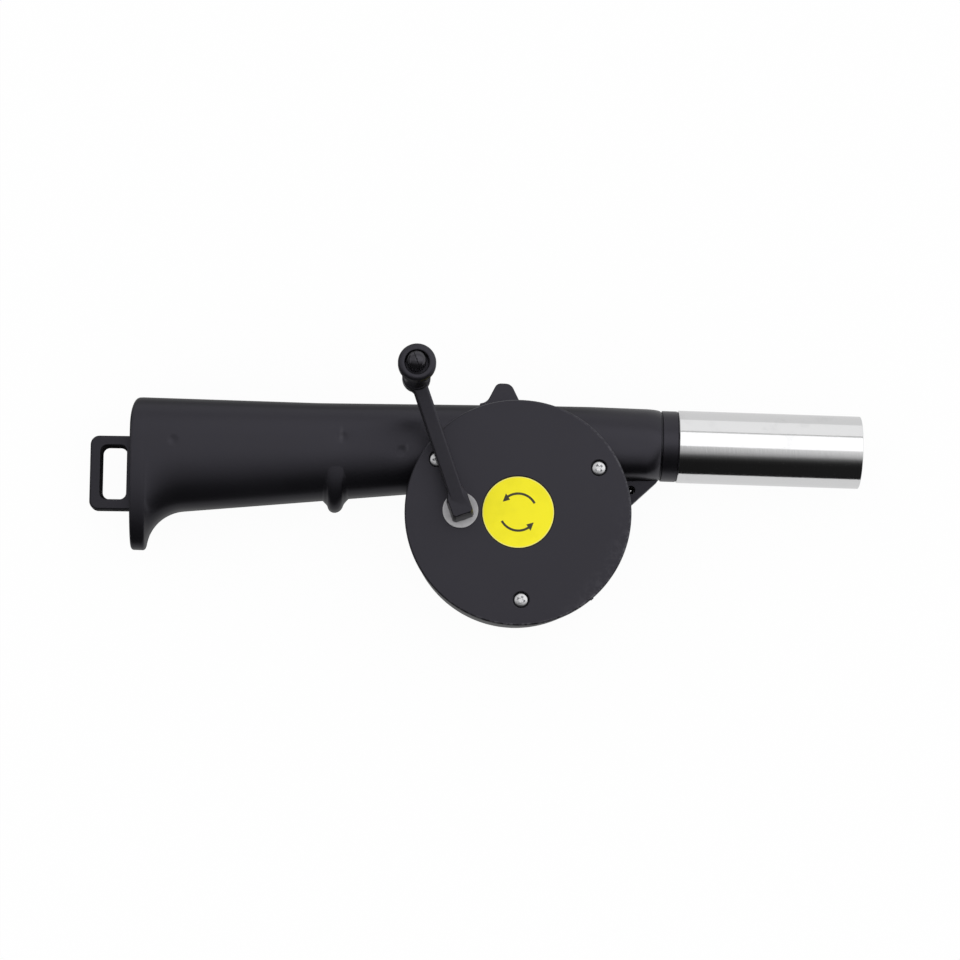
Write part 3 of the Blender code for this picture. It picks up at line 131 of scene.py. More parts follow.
class Value:
    """A number on its way through a shader; Python's operators on it add Math nodes."""

    def __init__(self, graph: "Graph", socket: bpy.types.NodeSocket) -> None:
        """Wrap an output socket of a node tree."""
        self.graph = graph
        self.socket = socket

    def _math(self, operation: str, *terms: "Value | float") -> "Value":
        """Result of one Math node on the terms in order."""
        return self.graph.node("ShaderNodeMath", {"operation": operation}, dict(enumerate(terms)))

    def __add__(self, other: "Value | float") -> "Value":
        """Sum."""
        return self._math("ADD", self, other)

    def __sub__(self, other: "Value | float") -> "Value":
        """Difference."""
        return self._math("SUBTRACT", self, other)

    def __rsub__(self, other: float) -> "Value":
        """Difference from a plain number."""
        return self._math("SUBTRACT", other, self)

    def __mul__(self, other: "Value | float") -> "Value":
        """Product."""
        return self._math("MULTIPLY", self, other)

    def __truediv__(self, other: "Value | float") -> "Value":
        """Quotient."""
        return self._math("DIVIDE", self, other)

    def __rtruediv__(self, other: float) -> "Value":
        """Quotient of a plain number."""
        return self._math("DIVIDE", other, self)

    __radd__ = __add__
    __rmul__ = __mul__

    def rise(self, start: float, end: float) -> "Value":
        """Smooth step from 0 at start to 1 at end."""
        return self.graph.node("ShaderNodeMapRange", {"interpolation_type": "SMOOTHSTEP"},
                               {0: self, 1: start, 2: end, 3: 0.0, 4: 1.0})


class Graph:
    """Node tree of one material or of the world."""

    def __init__(self, tree: bpy.types.NodeTree) -> None:
        """Start from an empty tree."""
        self.tree = tree
        tree.nodes.clear()

    def node(self, kind: str, settings: dict[str, Any] | None = None, inputs: Inputs | None = None,
             output: str | int = 0) -> Value:
        """Add a node.

        Args:
            kind: Blender's type name of the node.
            settings: Properties set first; "stops" holds a colour ramp's (place, colour) pairs.
            inputs: Numbers, colours or links for its input sockets, by name or number.
            output: The output socket that is wanted.

        Returns:
            The wrapped output socket, or the input of a node that has none.
        """
        made = self.tree.nodes.new(kind)
        for key, value in (settings or {}).items():
            if key == "stops":
                self._set_stops(made.color_ramp, value)
            else:
                setattr(made, key, value)
        for key, value in (inputs or {}).items():
            if isinstance(value, Value):
                self.tree.links.new(value.socket, made.inputs[key])
            elif isinstance(value, tuple) and len(value) == 3 and made.inputs[key].type == "RGBA":
                made.inputs[key].default_value = (*value, 1.0)
            else:
                made.inputs[key].default_value = value
        return Value(self, made.outputs[output]) if made.outputs else Value(self, made.inputs[0])

    @staticmethod
    def _set_stops(ramp: bpy.types.ColorRamp, stops: Sequence[tuple[float, Colour]]) -> None:
        """Write a colour ramp's stops.

        Args:
            ramp: The ramp to fill.
            stops: Place and colour of each stop, from low to high.
        """
        while len(ramp.elements) < len(stops):
            ramp.elements.new(1.0)
        for element, (place, colour) in zip(ramp.elements, stops):
            element.position = place
            element.color = (*colour, 1.0)

    def place(self) -> Value:
        """Point of the surface in the object's own coordinates."""
        return self.node("ShaderNodeTexCoord", output="Object")

    def stretched(self, place: Value, scale: Spot) -> Value:
        """Point scaled along its axes."""
        return self.node("ShaderNodeVectorMath", {"operation": "MULTIPLY"}, {0: place, 1: scale})

    def component(self, place: Value, axis: str) -> Value:
        """A point's coordinate in metres along X, Y or Z."""
        return self.node("ShaderNodeSeparateXYZ", None, {0: place}, axis)

    def distance(self, place: Value, centre: Spot) -> Value:
        """Distance in metres from a fixed point."""
        return self.node("ShaderNodeVectorMath", {"operation": "DISTANCE"}, {0: place, 1: centre}, "Value")

    def noise(self, place: Value, size: float, detail: float = 2.0, roughness: float = 0.5) -> Value:
        """Noise from about 0 to 1 whose blotches are size metres wide."""
        return self.node("ShaderNodeTexNoise", None,
                         {"Vector": place, "Scale": 1.0 / size, "Detail": detail, "Roughness": roughness})

    def mixed(self, mask: Value | float, first: Value | Colour, second: Value | Colour) -> Value:
        """Blend of two colours, the second where the mask is 1."""
        return self.node("ShaderNodeMix", {"data_type": "RGBA"}, {0: mask, 6: first, 7: second}, 2)

    def bump(self, height: Value, depth: float, under: Value | None = None) -> Value:
        """Surface normal bent by a height.

        Args:
            height: Height from 0 to 1.
            depth: Real height in metres where it is 1.
            under: A normal that is already bent.

        Returns:
            The bent normal.
        """
        inputs: Inputs = {"Strength": 1.0, "Distance": depth, "Height": height}
        if under is not None:
            inputs["Normal"] = under
        return self.node("ShaderNodeBump", None, inputs)

    def glow(self, strength: float) -> Value:
        """White light of one strength."""
        return self.node("ShaderNodeEmission", None, {"Color": WHITE, "Strength": strength})

    def layered(self, mask: Value, first: Value, second: Value) -> Value:
        """Mix of two shaders, the second where the mask is 1."""
        return self.node("ShaderNodeMixShader", None, {0: mask, 1: first, 2: second})

    def close(self, surface: Value) -> None:
        """Lead a shader to the material's output."""
        self.node("ShaderNodeOutputMaterial", None, {"Surface": surface})


def new_material(name: str) -> tuple[bpy.types.Material, Graph]:
    """Start an empty material.

    Args:
        name: The material's name.

    Returns:
        The material and its empty tree.
    """
    material = bpy.data.materials.new(name)
    material.use_nodes = True
    return material, Graph(material.node_tree)


@dataclass(frozen=True)
class Finish:
    """One finish of the blower, on a Principled shader."""

    name: str
    colour: Colour

    def surface(self, graph: Graph, place: Value) -> Inputs:
        """Values and links of the shader's sockets at a point of the surface."""
        raise NotImplementedError

    @functools.cache
    def material(self) -> bpy.types.Material:
        """Blender material of the finish, made once.

        Returns:
            The material.
        """
        material, graph = new_material(self.name)
        graph.close(graph.node("ShaderNodeBsdfPrincipled", None, self.surface(graph, graph.place())))
        return material


@dataclass(frozen=True)
class MouldedPlastic(Finish):
    """Satin moulding with a fine spark-eroded grain, faint waves, scuffs, dulled patches and optional
    painted highlights on a rim and over sink marks.
    """

    worn_colour: Colour
    roughness: float
    specular: float = 0.56
    sheen_tint: Colour = (0.87, 0.84, 1.0)
    grain_size: float = 0.35 * MM
    grain_depth: float = 0.012 * MM
    wave_size: float = 14.0 * MM
    wave_depth: float = 0.05 * MM
    scuffs: float = 0.35
    edge_radius: float = 0.25 * MM
    # Where a round cover's scuffed rim starts and the level of its top; the paler colour paints those
    # scuffs, the rim's painted highlight and the painted sink highlights.
    scuff_and_highlight_from: float = 0.0
    scuff_and_highlight_level: float = 36.0 * MM
    scuff_and_highlight_colour: Colour = (0.070, 0.070, 0.074)
    polished_from: float = 1.0
    sinks: tuple[Point, ...] = ()
    sink_size: float = 2.4 * MM
    sink_dip: float = 0.2 * MM
    # Painted highlights over sink marks: x, y, width and height of each pale streak.
    sink_highlights: tuple[tuple[float, float, float, float], ...] = ()

    def scuffs_and_edge_highlight(self, graph: Graph, place: Value) -> Value:
        """Mask of a round cover's scuffed rim and of the scuffs inside it, towards the nozzle, and of a
        painted highlight on the upper left of its rounded edge.

        Args:
            graph: The material's tree.
            place: The point of the surface.

        Returns:
            The mask, from 0 to 1.
        """
        x, y, z = (graph.component(place, axis) for axis in "XYZ")
        out = graph.distance(graph.stretched(place, (1.0, 1.0, 0.0)), (0.0, 0.0, 0.0))
        side = x - 0.55 * y
        start = self.scuff_and_highlight_from
        top = z.rise(self.scuff_and_highlight_level - 0.9 * MM, self.scuff_and_highlight_level - 0.3 * MM)
        patches = graph.noise(place, 1.6 * MM, 5.0, 0.7).rise(0.42, 0.62)
        # Rim specks: scuffs on the rounded edge that also paint its highlight.
        rim = out.rise(start, start + 0.5 * MM) * side.rise(-25 * MM, 35 * MM)
        face = out.rise(start - 8 * MM, start) * side.rise(30 * MM, 44 * MM)
        # Painted highlight: a pale arc along the upper left of the rounded edge.
        edge = out.rise(start + 0.6 * MM, start + 0.8 * MM) * y.rise(16 * MM, 24 * MM)
        edge = edge * x.rise(-20 * MM, -16 * MM) * (1.0 - x.rise(0.0, 16 * MM))
        return top * (patches * (0.8 * rim + 0.2 * face) + edge)

    def surface(self, graph: Graph, place: Value) -> Inputs:
        """Values and links of the shader's sockets.

        Args:
            graph: The material's tree.
            place: The point of the surface.

        Returns:
            The values and links by socket.
        """
        grain = graph.noise(place, self.grain_size, 3.0, 0.6)
        wave = graph.noise(place, self.wave_size, 1.0)
        cloud = graph.noise(place, 2.5 * self.wave_size, 3.0)
        scratch = graph.noise(graph.stretched(place, (1.0, 9.0, 9.0)), 4.0 * MM, 4.0, 0.7)
        scuffed = scratch.rise(0.63, 0.72) * cloud.rise(0.5, 0.75) * self.scuffs
        tone = (cloud - 0.5) * 0.5 + 0.35 * scuffed
        colour = graph.mixed((tone + 0.25).rise(0.0, 0.6), self.colour, self.worn_colour)
        # Paler scuffs on a round cover's rim and face, with a painted highlight on its edge.
        if self.scuff_and_highlight_from:
            colour = graph.mixed(self.scuffs_and_edge_highlight(graph, place), colour, self.scuff_and_highlight_colour)
        # Painted highlights: pale streaks over the sink marks of the screw bosses, where the dents catch the
        # light.
        for x, y, width, height in self.sink_highlights:
            away = graph.distance(graph.stretched(place, (1 / width, 1 / height, 0.0)),
                                  (x / width, y / height, 0.0))
            patch = (1.0 - away.rise(0.2, 1.0)) * (0.35 + scratch)
            colour = graph.mixed(patch * 0.22, colour, self.scuff_and_highlight_colour)
        rounded = graph.node("ShaderNodeBevel", {"samples": 6}, {"Radius": self.edge_radius})
        bent = graph.bump(wave, self.wave_depth, rounded)
        for x, y in self.sinks:
            away = graph.distance(graph.stretched(place, (1.0, 1.0, 0.0)), (x, y, 0.0))
            bent = graph.bump(away.rise(0.0, self.sink_size), self.sink_dip, bent)
        bent = graph.bump(grain, self.grain_depth, bent)
        roughness = self.roughness + (cloud - 0.5) * 0.16 - 0.12 * scuffed
        polish: Value | float = 0.0
        if self.polished_from < 1.0:
            polish = graph.component(place, "Z").rise(self.polished_from, self.polished_from + 1.5 * MM)
            roughness = roughness * (1.0 - 0.5 * polish)
        return {"Base Color": colour, "Roughness": roughness, "Coat Weight": polish * 0.35,
                "Coat Roughness": 0.15, "Specular IOR Level": self.specular,
                "Specular Tint": self.sheen_tint, "Normal": bent}


@dataclass(frozen=True)
class DrawnSteel(Finish):
    """Bright drawn tube: fine lines along it, faint smudges and a little tarnish."""

    roughness: float
    line_width: float = 0.18 * MM
    line_depth: float = 0.0012 * MM
    smudge_size: float = 9.0 * MM
    streak_width: float = 0.3 * MM
    streak_depth: float = 0.02 * MM

    def surface(self, graph: Graph, place: Value) -> Inputs:
        """Values and links of the shader's sockets.

        Args:
            graph: The material's tree.
            place: The point of the surface.

        Returns:
            The values and links by socket.
        """
        lines = graph.noise(graph.stretched(place, (0.012, 1.0, 1.0)), self.line_width, 2.0, 0.6)
        smudge = graph.noise(place, self.smudge_size, 4.0, 0.6)
        speck = graph.noise(place, 0.9 * MM, 2.0).rise(0.74, 0.8)
        dull = smudge.rise(0.52, 0.8)
        streak = graph.noise(graph.stretched(place, (1.0, 0.09, 0.09)), self.streak_width, 2.0, 0.5)
        bent = graph.bump(streak, self.streak_depth)
        tint = tuple(0.86 * part for part in self.colour)
        colour = graph.mixed(dull * 0.6 + speck * 0.4, self.colour, tint)
        return {"Base Color": colour, "Metallic": 1.0,
                "Roughness": self.roughness + lines * 0.05 + dull * 0.05 + speck * 0.1,
                "Normal": graph.bump(lines, self.line_depth, bent)}


@dataclass(frozen=True)
class ZincPlate(Finish):
    """Bright plated screw: rolled grain, slightly uneven shine and darker pits."""

    roughness: float

    def surface(self, graph: Graph, place: Value) -> Inputs:
        """Values and links of the shader's sockets.

        Args:
            graph: The material's tree.
            place: The point of the surface.

        Returns:
            The values and links by socket.
        """
        mottle = graph.noise(place, 0.6 * MM, 4.0, 0.7)
        pits = graph.noise(place, 0.22 * MM, 2.0).rise(0.66, 0.78)
        dark = tuple(0.55 * part for part in self.colour)
        return {"Base Color": graph.mixed(pits * 0.6 + (mottle - 0.4) * 0.3, self.colour, dark),
                "Metallic": 1.0, "Roughness": self.roughness + (mottle - 0.5) * 0.2 + pits * 0.15,
                "Normal": graph.bump(mottle, 0.012 * MM)}


@dataclass(frozen=True)
class PrintedLabel(Finish):
    """Printed plastic label: even ink with a faint orange-peel gloss and a paler rim that paints the
    highlight of its rounded edge.
    """

    rim_highlight_colour: Colour
    highlight_radius: float
    centre: Spot
    roughness: float = 0.42

    def surface(self, graph: Graph, place: Value) -> Inputs:
        """Values and links of the shader's sockets.

        Args:
            graph: The material's tree.
            place: The point of the surface.

        Returns:
            The values and links by socket.
        """
        peel = graph.noise(place, 0.5 * MM, 2.0)
        cloud = graph.noise(place, 5.0 * MM, 3.0)
        # Painted highlight: a paler ring at the label's rounded edge.
        rim = graph.distance(place, self.centre).rise(self.highlight_radius, self.highlight_radius + 0.18 * MM)
        shade = tuple(0.93 * part for part in self.colour)
        ink = graph.mixed(cloud.rise(0.4, 0.7) * 0.6, self.colour, shade)
        return {"Base Color": graph.mixed(rim * 0.8, ink, self.rim_highlight_colour),
                "Roughness": self.roughness + (cloud - 0.5) * 0.12, "Specular IOR Level": 0.15,
                "Normal": graph.bump(peel, 0.006 * MM)}


@dataclass(frozen=True)
class NaturalPolymer(Finish):
    """Pale engineering plastic of gears and washers: milky, faintly mottled and satin."""

    shade: Colour
    roughness: float = 0.42

    def surface(self, graph: Graph, place: Value) -> Inputs:
        """Values and links of the shader's sockets.

        Args:
            graph: The material's tree.
            place: The point of the surface.

        Returns:
            The values and links by socket.
        """
        milk = graph.noise(place, 4.0 * MM, 4.0, 0.6)
        skin = graph.noise(place, 0.3 * MM, 2.0)
        return {"Base Color": graph.mixed(milk.rise(0.35, 0.7), self.colour, self.shade),
                "Roughness": self.roughness + (milk - 0.5) * 0.2, "Specular IOR Level": 0.4,
                "Normal": graph.bump(skin, 0.006 * MM)}


BODY_BLACK = MouldedPlastic("body_black", (0.0035, 0.0034, 0.0043), (0.0060, 0.0058, 0.0072), 0.36)
# The cover's rim takes paler scuffs and a painted edge highlight.
COVER_BLACK = MouldedPlastic("cover_black", (0.0042, 0.0040, 0.0050), (0.0068, 0.0066, 0.0080), 0.42,
                             grain_depth=0.009 * MM, wave_depth=0.02 * MM, scuffs=0.6,
                             scuff_and_highlight_from=38.05 * MM)
CRANK_BLACK = MouldedPlastic("crank_black", (0.0046, 0.0044, 0.0052), (0.0080, 0.0078, 0.0088), 0.36,
                             wave_size=6.0 * MM, scuffs=0.9, edge_radius=0.12 * MM,
                             polished_from=81.0 * MM)
KNOB_BLACK = MouldedPlastic("knob_black", (0.0046, 0.0044, 0.0052), (0.0076, 0.0074, 0.0084), 0.36,
                            wave_size=6.0 * MM, scuffs=0.6, edge_radius=0.12 * MM)
LOOP_BLACK = MouldedPlastic("loop_black", (0.0042, 0.0041, 0.0048), (0.0070, 0.0069, 0.0078), 0.38,
                            specular=0.46, wave_size=8.0 * MM, scuffs=0.6, edge_radius=0.2 * MM)
FAN_BLACK = MouldedPlastic("fan_black", (0.012, 0.012, 0.013), (0.02, 0.02, 0.021), 0.5)
TUBE_STEEL = DrawnSteel("tube_steel", (0.80, 0.80, 0.805), 0.08)
SHAFT_STEEL = DrawnSteel("shaft_steel", (0.62, 0.62, 0.63), 0.22)
SCREW_ZINC = ZincPlate("screw_zinc", (0.62, 0.62, 0.63), 0.24)
WASHER_NYLON = NaturalPolymer("washer_nylon", (0.44, 0.435, 0.45), (0.37, 0.366, 0.38))
GEAR_ACETAL = NaturalPolymer("gear_acetal", (0.72, 0.70, 0.64), (0.66, 0.64, 0.58))
BADGE_INK = NaturalPolymer("badge_ink", (0.045, 0.040, 0.012), (0.036, 0.032, 0.010), 0.5)


def new_object(name: str, shape: bmesh.types.BMesh) -> Item:
    """Turn a bmesh into an object of the scene.

    Args:
        name: The object's name.
        shape: The bmesh, which is used up.

    Returns:
        The new object.
    """
    bmesh.ops.recalc_face_normals(shape, faces=shape.faces)
    mesh = bpy.data.meshes.new(name)
    shape.to_mesh(mesh)
    shape.free()
    item = bpy.data.objects.new(name, mesh)
    bpy.context.scene.collection.objects.link(item)
    return item


def arc(centre: Point, radius: float, start: float, end: float, steps: int) -> list[Point]:
    """Points along an arc.

    Args:
        centre: Centre of the arc.
        radius: Its radius.
        start: First angle in degrees.
        end: Last angle in degrees.
        steps: Number of segments.

    Returns:
        The points, one more than the segments.
    """
    turns = [math.radians(start + (end - start) * i / steps) for i in range(steps + 1)]
    return [(centre[0] + radius * math.cos(turn), centre[1] + radius * math.sin(turn)) for turn in turns]


def polar(radius: float, degrees: float) -> Point:
    """Point at a distance from the origin, in the direction of an angle."""
    return radius * math.cos(math.radians(degrees)), radius * math.sin(math.radians(degrees))


def domed(radius: float, top: float, height: float, steps: int, power: float = 1.0) -> list[Point]:
    """Half section of a domed end, from the axis out.

    Args:
        radius: Radius at the dome's foot.
        top: Level of its top.
        height: How much lower its foot is.
        steps: Number of segments.
        power: How quickly the radius grows; 1 gives a quarter of an ellipse.

    Returns:
        (radius, height) points.
    """
    turns = [math.pi / 2 * i / steps for i in range(1, steps + 1)]
    return [(0.0, top)] + [(radius * math.sin(turn) ** power, top - height * (1 - math.cos(turn)))
                           for turn in turns]


def rounded_outline(corners: Sequence[Spot], steps: int = 6) -> list[Point]:
    """Closed outline with a round at each corner.

    Args:
        corners: Place of each corner and the radius of its round.
        steps: Segments in each round.

    Returns:
        Points of the outline.
    """
    points: list[Point] = []
    for i, (x, y, radius) in enumerate(corners):
        corner = Vector((x, y))
        back = (Vector(corners[i - 1][:2]) - corner).normalized()
        ahead = (Vector(corners[(i + 1) % len(corners)][:2]) - corner).normalized()
        opening = back.angle(ahead)
        if radius <= 0.0 or opening > math.pi - 0.01:
            points.append((x, y))
            continue
        reach = radius / math.tan(opening / 2)
        centre = corner + (back + ahead).normalized() * (radius / math.sin(opening / 2))
        first, last = corner + back * reach - centre, corner + ahead * reach - centre
        sweep = first.angle_signed(last)
        for step in range(steps + 1):
            turn = Matrix.Rotation(-sweep * step / steps, 2)
            spot = centre + turn @ first
            points.append((spot.x, spot.y))
    return points


def cylinder(name: str, radius: float, bottom: float, top: float,
             place: Sequence[float] = (0.0, 0.0), segments: int = 48, flare: float = 0.0) -> Item:
    """Upright cylinder between two levels.

    Args:
        name: The object's name.
        radius: Its radius.
        bottom: Lower level.
        top: Upper level.
        place: Where its axis stands.
        segments: Facets round it.
        flare: How much wider it is at the top, for a countersunk cutter.

    Returns:
        The new object.
    """
    shape = bmesh.new()
    bmesh.ops.create_cone(shape, cap_ends=True, segments=segments, radius1=radius, radius2=radius + flare,
                          depth=top - bottom)
    bmesh.ops.translate(shape, verts=shape.verts, vec=(place[0], place[1], (bottom + top) / 2))
    return new_object(name, shape)


def posts(name: str, radius: float, places: Sequence[Point], bottom: float,
          top: float | Sequence[float], segments: int = 48) -> list[Item]:
    """Upright cylinders of one radius.

    Args:
        name: Their name, to which a number is added.
        radius: Their radius.
        places: Where their axes stand.
        bottom: Their lower level.
        top: Their upper level, or the upper level of each.
        segments: Facets round each.

    Returns:
        The new objects.
    """
    tops = [top] * len(places) if isinstance(top, float) else top
    return [cylinder(f"{name}_{number}", radius, bottom, high, place, segments)
            for number, (place, high) in enumerate(zip(places, tops))]


def box(name: str, low: Sequence[float], high: Sequence[float]) -> Item:
    """Box between two corners.

    Args:
        name: The object's name.
        low: Lowest corner.
        high: Highest corner.

    Returns:
        The new object.
    """
    shape = bmesh.new()
    bmesh.ops.create_cube(shape, size=1.0)
    bmesh.ops.scale(shape, vec=Vector(high) - Vector(low), verts=shape.verts)
    bmesh.ops.translate(shape, verts=shape.verts, vec=(Vector(high) + Vector(low)) / 2)
    return new_object(name, shape)


def lathe(name: str, profile: Sequence[Point], place: Sequence[float] = (0.0, 0.0),
          segments: int = 96) -> Item:
    """Solid of revolution about an upright axis.

    Args:
        name: The object's name.
        profile: (radius, height) points round the half section; a radius of 0 ends on the axis.
        place: Where the axis stands.
        segments: Facets round it.

    Returns:
        The new object.
    """
    shape = bmesh.new()
    rings: list[list[bmesh.types.BMVert]] = []
    for radius, height in profile:
        count = segments if radius > 0.0 else 1
        turns = [2 * math.pi * i / segments for i in range(count)]
        rings.append([shape.verts.new((radius * math.cos(turn), radius * math.sin(turn), height))
                      for turn in turns])
    pairs = list(zip(rings, rings[1:]))
    if profile[0][0] > 0.0:
        pairs.append((rings[-1], rings[0]))
    for near, far in pairs:
        for i in range(segments):
            j = (i + 1) % segments
            corners = [near[i % len(near)], near[j % len(near)], far[j % len(far)], far[i % len(far)]]
            shape.faces.new(list(dict.fromkeys(corners)))
    poles = [ring[0] for ring in (rings[0], rings[-1]) if len(ring) == 1]
    for pole in poles:
        if all(abs(edge.other_vert(pole).co.z - pole.co.z) < 1e-9 for edge in pole.link_edges):
            bmesh.ops.dissolve_verts(shape, verts=[pole])
    bmesh.ops.translate(shape, verts=shape.verts, vec=(place[0], place[1], 0.0))
    return new_object(name, shape)


def extruded(name: str, outlines: Sequence[Sequence[Point]], bottom: float, top: float) -> Item:
    """Flat outlines, the later ones holes, given a thickness between two levels.

    Args:
        name: The object's name.
        outlines: Closed outlines.
        bottom: Lower level.
        top: Upper level.

    Returns:
        The new object.
    """
    curve = bpy.data.curves.new(name, "CURVE")
    curve.dimensions = "2D"
    curve.fill_mode = "BOTH"
    curve.extrude = (top - bottom) / 2
    for outline in outlines:
        spline = curve.splines.new("POLY")
        spline.points.add(len(outline) - 1)
        for point, (x, y) in zip(spline.points, outline):
            point.co = (x, y, 0.0, 1.0)
        spline.use_cyclic_u = True
    guide = bpy.data.objects.new(name, curve)
    bpy.context.scene.collection.objects.link(guide)
    shape = bmesh.new()
    shape.from_mesh(bpy.data.meshes.new_from_object(guide.evaluated_get(
        bpy.context.evaluated_depsgraph_get())))
    bpy.data.objects.remove(guide, do_unlink=True)
    bmesh.ops.remove_doubles(shape, verts=shape.verts, dist=0.001 * MM)
    bmesh.ops.dissolve_limit(shape, angle_limit=math.radians(0.2), verts=shape.verts, edges=shape.edges)
    bmesh.ops.translate(shape, verts=shape.verts, vec=(0.0, 0.0, (bottom + top) / 2))
    return new_object(name, shape)


def loft(name: str, rings: Sequence[Ring]) -> Item:
    """Skin over closed rings of equally many points, capped at both ends.

    Args:
        name: The object's name.
        rings: The rings in order.

    Returns:
        The new object.
    """
    shape = bmesh.new()
    loops = [[shape.verts.new(point) for point in ring] for ring in rings]
    for near, far in zip(loops, loops[1:]):
        for i in range(len(near)):
            j = (i + 1) % len(near)
            shape.faces.new((near[i], near[j], far[j], far[i]))
    shape.faces.new(loops[0])
    shape.faces.new(loops[-1])
    return new_object(name, shape)


def sheet(name: str, rows: Rows) -> Item:
    """Surface without thickness, for the set round the blower.

    Args:
        name: The object's name.
        rows: Pairs of points along it, one pair for each row.

    Returns:
        The new object.
    """
    shape = bmesh.new()
    lines = [[shape.verts.new(point) for point in row] for row in rows]
    for near, far in zip(lines, lines[1:]):
        shape.faces.new((near[0], near[1], far[1], far[0]))
    return new_object(name, shape)


def combine(item: Item, way: Fusion, tools: Sequence[Item]) -> Item:
    """Boolean modifiers on an object, one for each tool.

    Args:
        item: The object that is changed.
        way: How the tools act on it.
        tools: The other solids.

    Returns:
        The same object.
    """
    for tool in tools:
        modifier = item.modifiers.new(tool.name, "BOOLEAN")
        modifier.operation = way.value
        modifier.solver = "EXACT"
        modifier.object = tool
        tool["spare"] = True
    return item


def bevelled(item: Item, width: float, segments: int, angle: float = 40.0) -> Item:
    """Bevel on an object's sharp edges.

    Args:
        item: The object.
        width: Width of the bevel.
        segments: Facets across it.
        angle: Edges sharper than this many degrees are bevelled.

    Returns:
        The same object.
    """
    bevel = item.modifiers.new("Rounded edges", "BEVEL")
    bevel.width = width
    bevel.segments = segments
    bevel.limit_method = "ANGLE"
    bevel.angle_limit = math.radians(angle)
    return item


def applied(item: Item) -> bpy.types.Mesh:
    """Give an object the mesh that its modifiers make.

    Args:
        item: The object, which loses its modifiers.

    Returns:
        Its new mesh.
    """
    graph = bpy.context.evaluated_depsgraph_get()
    item.data = bpy.data.meshes.new_from_object(item.evaluated_get(graph))
    item.modifiers.clear()
    return item.data


def settle(item: Item) -> Item:
    """Apply an object's modifiers and shade it smooth between sharp edges.

    Args:
        item: The object.

    Returns:
        The same object.
    """
    mesh = applied(item)
    shape = bmesh.new()
    shape.from_mesh(mesh)
    bmesh.ops.dissolve_degenerate(shape, dist=SLIVER, edges=shape.edges[:])
    shape.to_mesh(mesh)
    shape.free()
    mesh.shade_smooth()
    mesh.set_sharp_from_angle(angle=SHARP_ANGLE)
    weight = item.modifiers.new("Flat faces stay flat", "WEIGHTED_NORMAL")
    weight.keep_sharp = True
    weight.weight = 100
    applied(item).name = item.name
    return item


def hand_over(item: Item, finish: Finish, body: Body, nodes: Sequence[str] = ()) -> None:
    """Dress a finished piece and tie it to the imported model.

    Args:
        item: The piece, with its final mesh.
        finish: Its finish.
        body: The body it moves with.
        nodes: CAD nodes that it stands for.
    """
    item.data.materials.clear()
    item.data.materials.append(finish.material())
    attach(item, body.value)
    if nodes:
        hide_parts(*nodes)
    LOG.info("%s: %d faces on %s", item.name, len(item.data.polygons), body.value)


def clear_spares() -> None:
    """Remove the cutters and other helpers that aren't pieces."""
    for item in list(bpy.context.scene.objects):
        if item.get("spare"):
            bpy.data.objects.remove(item, do_unlink=True)


def between(x: float, start_x: float, end_x: float, start: float, end: float) -> float:
    """Value at x on the straight line through two points, held level past its ends."""
    share = min(max((x - start_x) / (end_x - start_x), 0.0), 1.0)
    return start + (end - start) * share


def signed_power(value: float, power: float) -> float:
    """Power of a number that keeps its sign."""
    return math.copysign(abs(value) ** power, value)


def softened(points: Sequence[Point], spacing: float, rounds: int) -> list[Point]:
    """Even out a broken line so that its corners turn round.

    Args:
        points: The broken line.
        spacing: Distance between the new points.
        rounds: How often neighbours are averaged.

    Returns:
        The smooth line.
    """
    line: list[Vector] = []
    for start, end in zip(points, points[1:]):
        first, last = Vector(start), Vector(end)
        count = max(1, round((last - first).length / spacing))
        line += [first.lerp(last, i / count) for i in range(count)]
    line.append(Vector(points[-1]))
    for _ in range(rounds):
        inner = [(a + 2 * b + c) / 4 for a, b, c in zip(line, line[1:], line[2:])]
        line = [line[0], *inner, line[-1]]
    return [(spot.x, spot.y) for spot in line]


JOINT_PLACES = {joint["name"]: Vector(joint["pos_m"]) for joint in frame["joints"]}


@dataclass(frozen=True)
class Layout:
    """Sizes and places that several sub-assemblies share."""

    seat_gap: float = 0.3 * MM
    wall: float = 2.0 * MM
    boss_wall: float = 1.8 * MM
    parting_z: float = 14.5 * MM
    parting_gap: float = 0.2 * MM
    case_radius: float = 37.4 * MM
    case_top_z: float = 32.7 * MM
    cover_z: float = 33.0 * MM
    cover_top_z: float = 36.0 * MM
    cover_radius: float = 39.0 * MM
    partition_z: float = 20.0 * MM
    pocket_z: float = 22.0 * MM
    shell_seat_z: float = 9.5 * MM
    screw_hole_radius: float = 1.45 * MM
    screw_head_radius: float = 2.5 * MM
    screw_recess_depth: float = 2.0 * MM
    screw_length: float = 9.5 * MM
    duct_axis_y: float = 27.3 * MM
    duct_radius: float = 12.8 * MM
    tube_radius: float = 12.7 * MM
    tube_wall: float = 0.5 * MM
    spigot_x: float = 55.45 * MM
    loop_bottom_y: float = -1.6 * MM
    loop_height: float = 26.1 * MM
    loop_thickness: float = 5.4 * MM
    loop_head_overlap: float = 1.8 * MM
    butt_x: float = -135.15 * MM
    fine_edge: float = 0.3 * MM
    cover_screw_rims: tuple[Point, ...] = ((4.0 * MM, 148.6), (5.6 * MM, 30.6), (7.2 * MM, -86.5))

    @property
    def boss_radius(self) -> float:
        """Radius of a screw boss."""
        return self.screw_hole_radius + self.boss_wall

    @property
    def recess_radius(self) -> float:
        """Radius of the recess round a screw's head."""
        return self.screw_head_radius + self.seat_gap

    @property
    def cover_screw_places(self) -> list[Point]:
        """Where the cover's screws stand."""
        return [polar(self.case_radius - inset, degrees) for inset, degrees in self.cover_screw_rims]


LAYOUT = Layout()


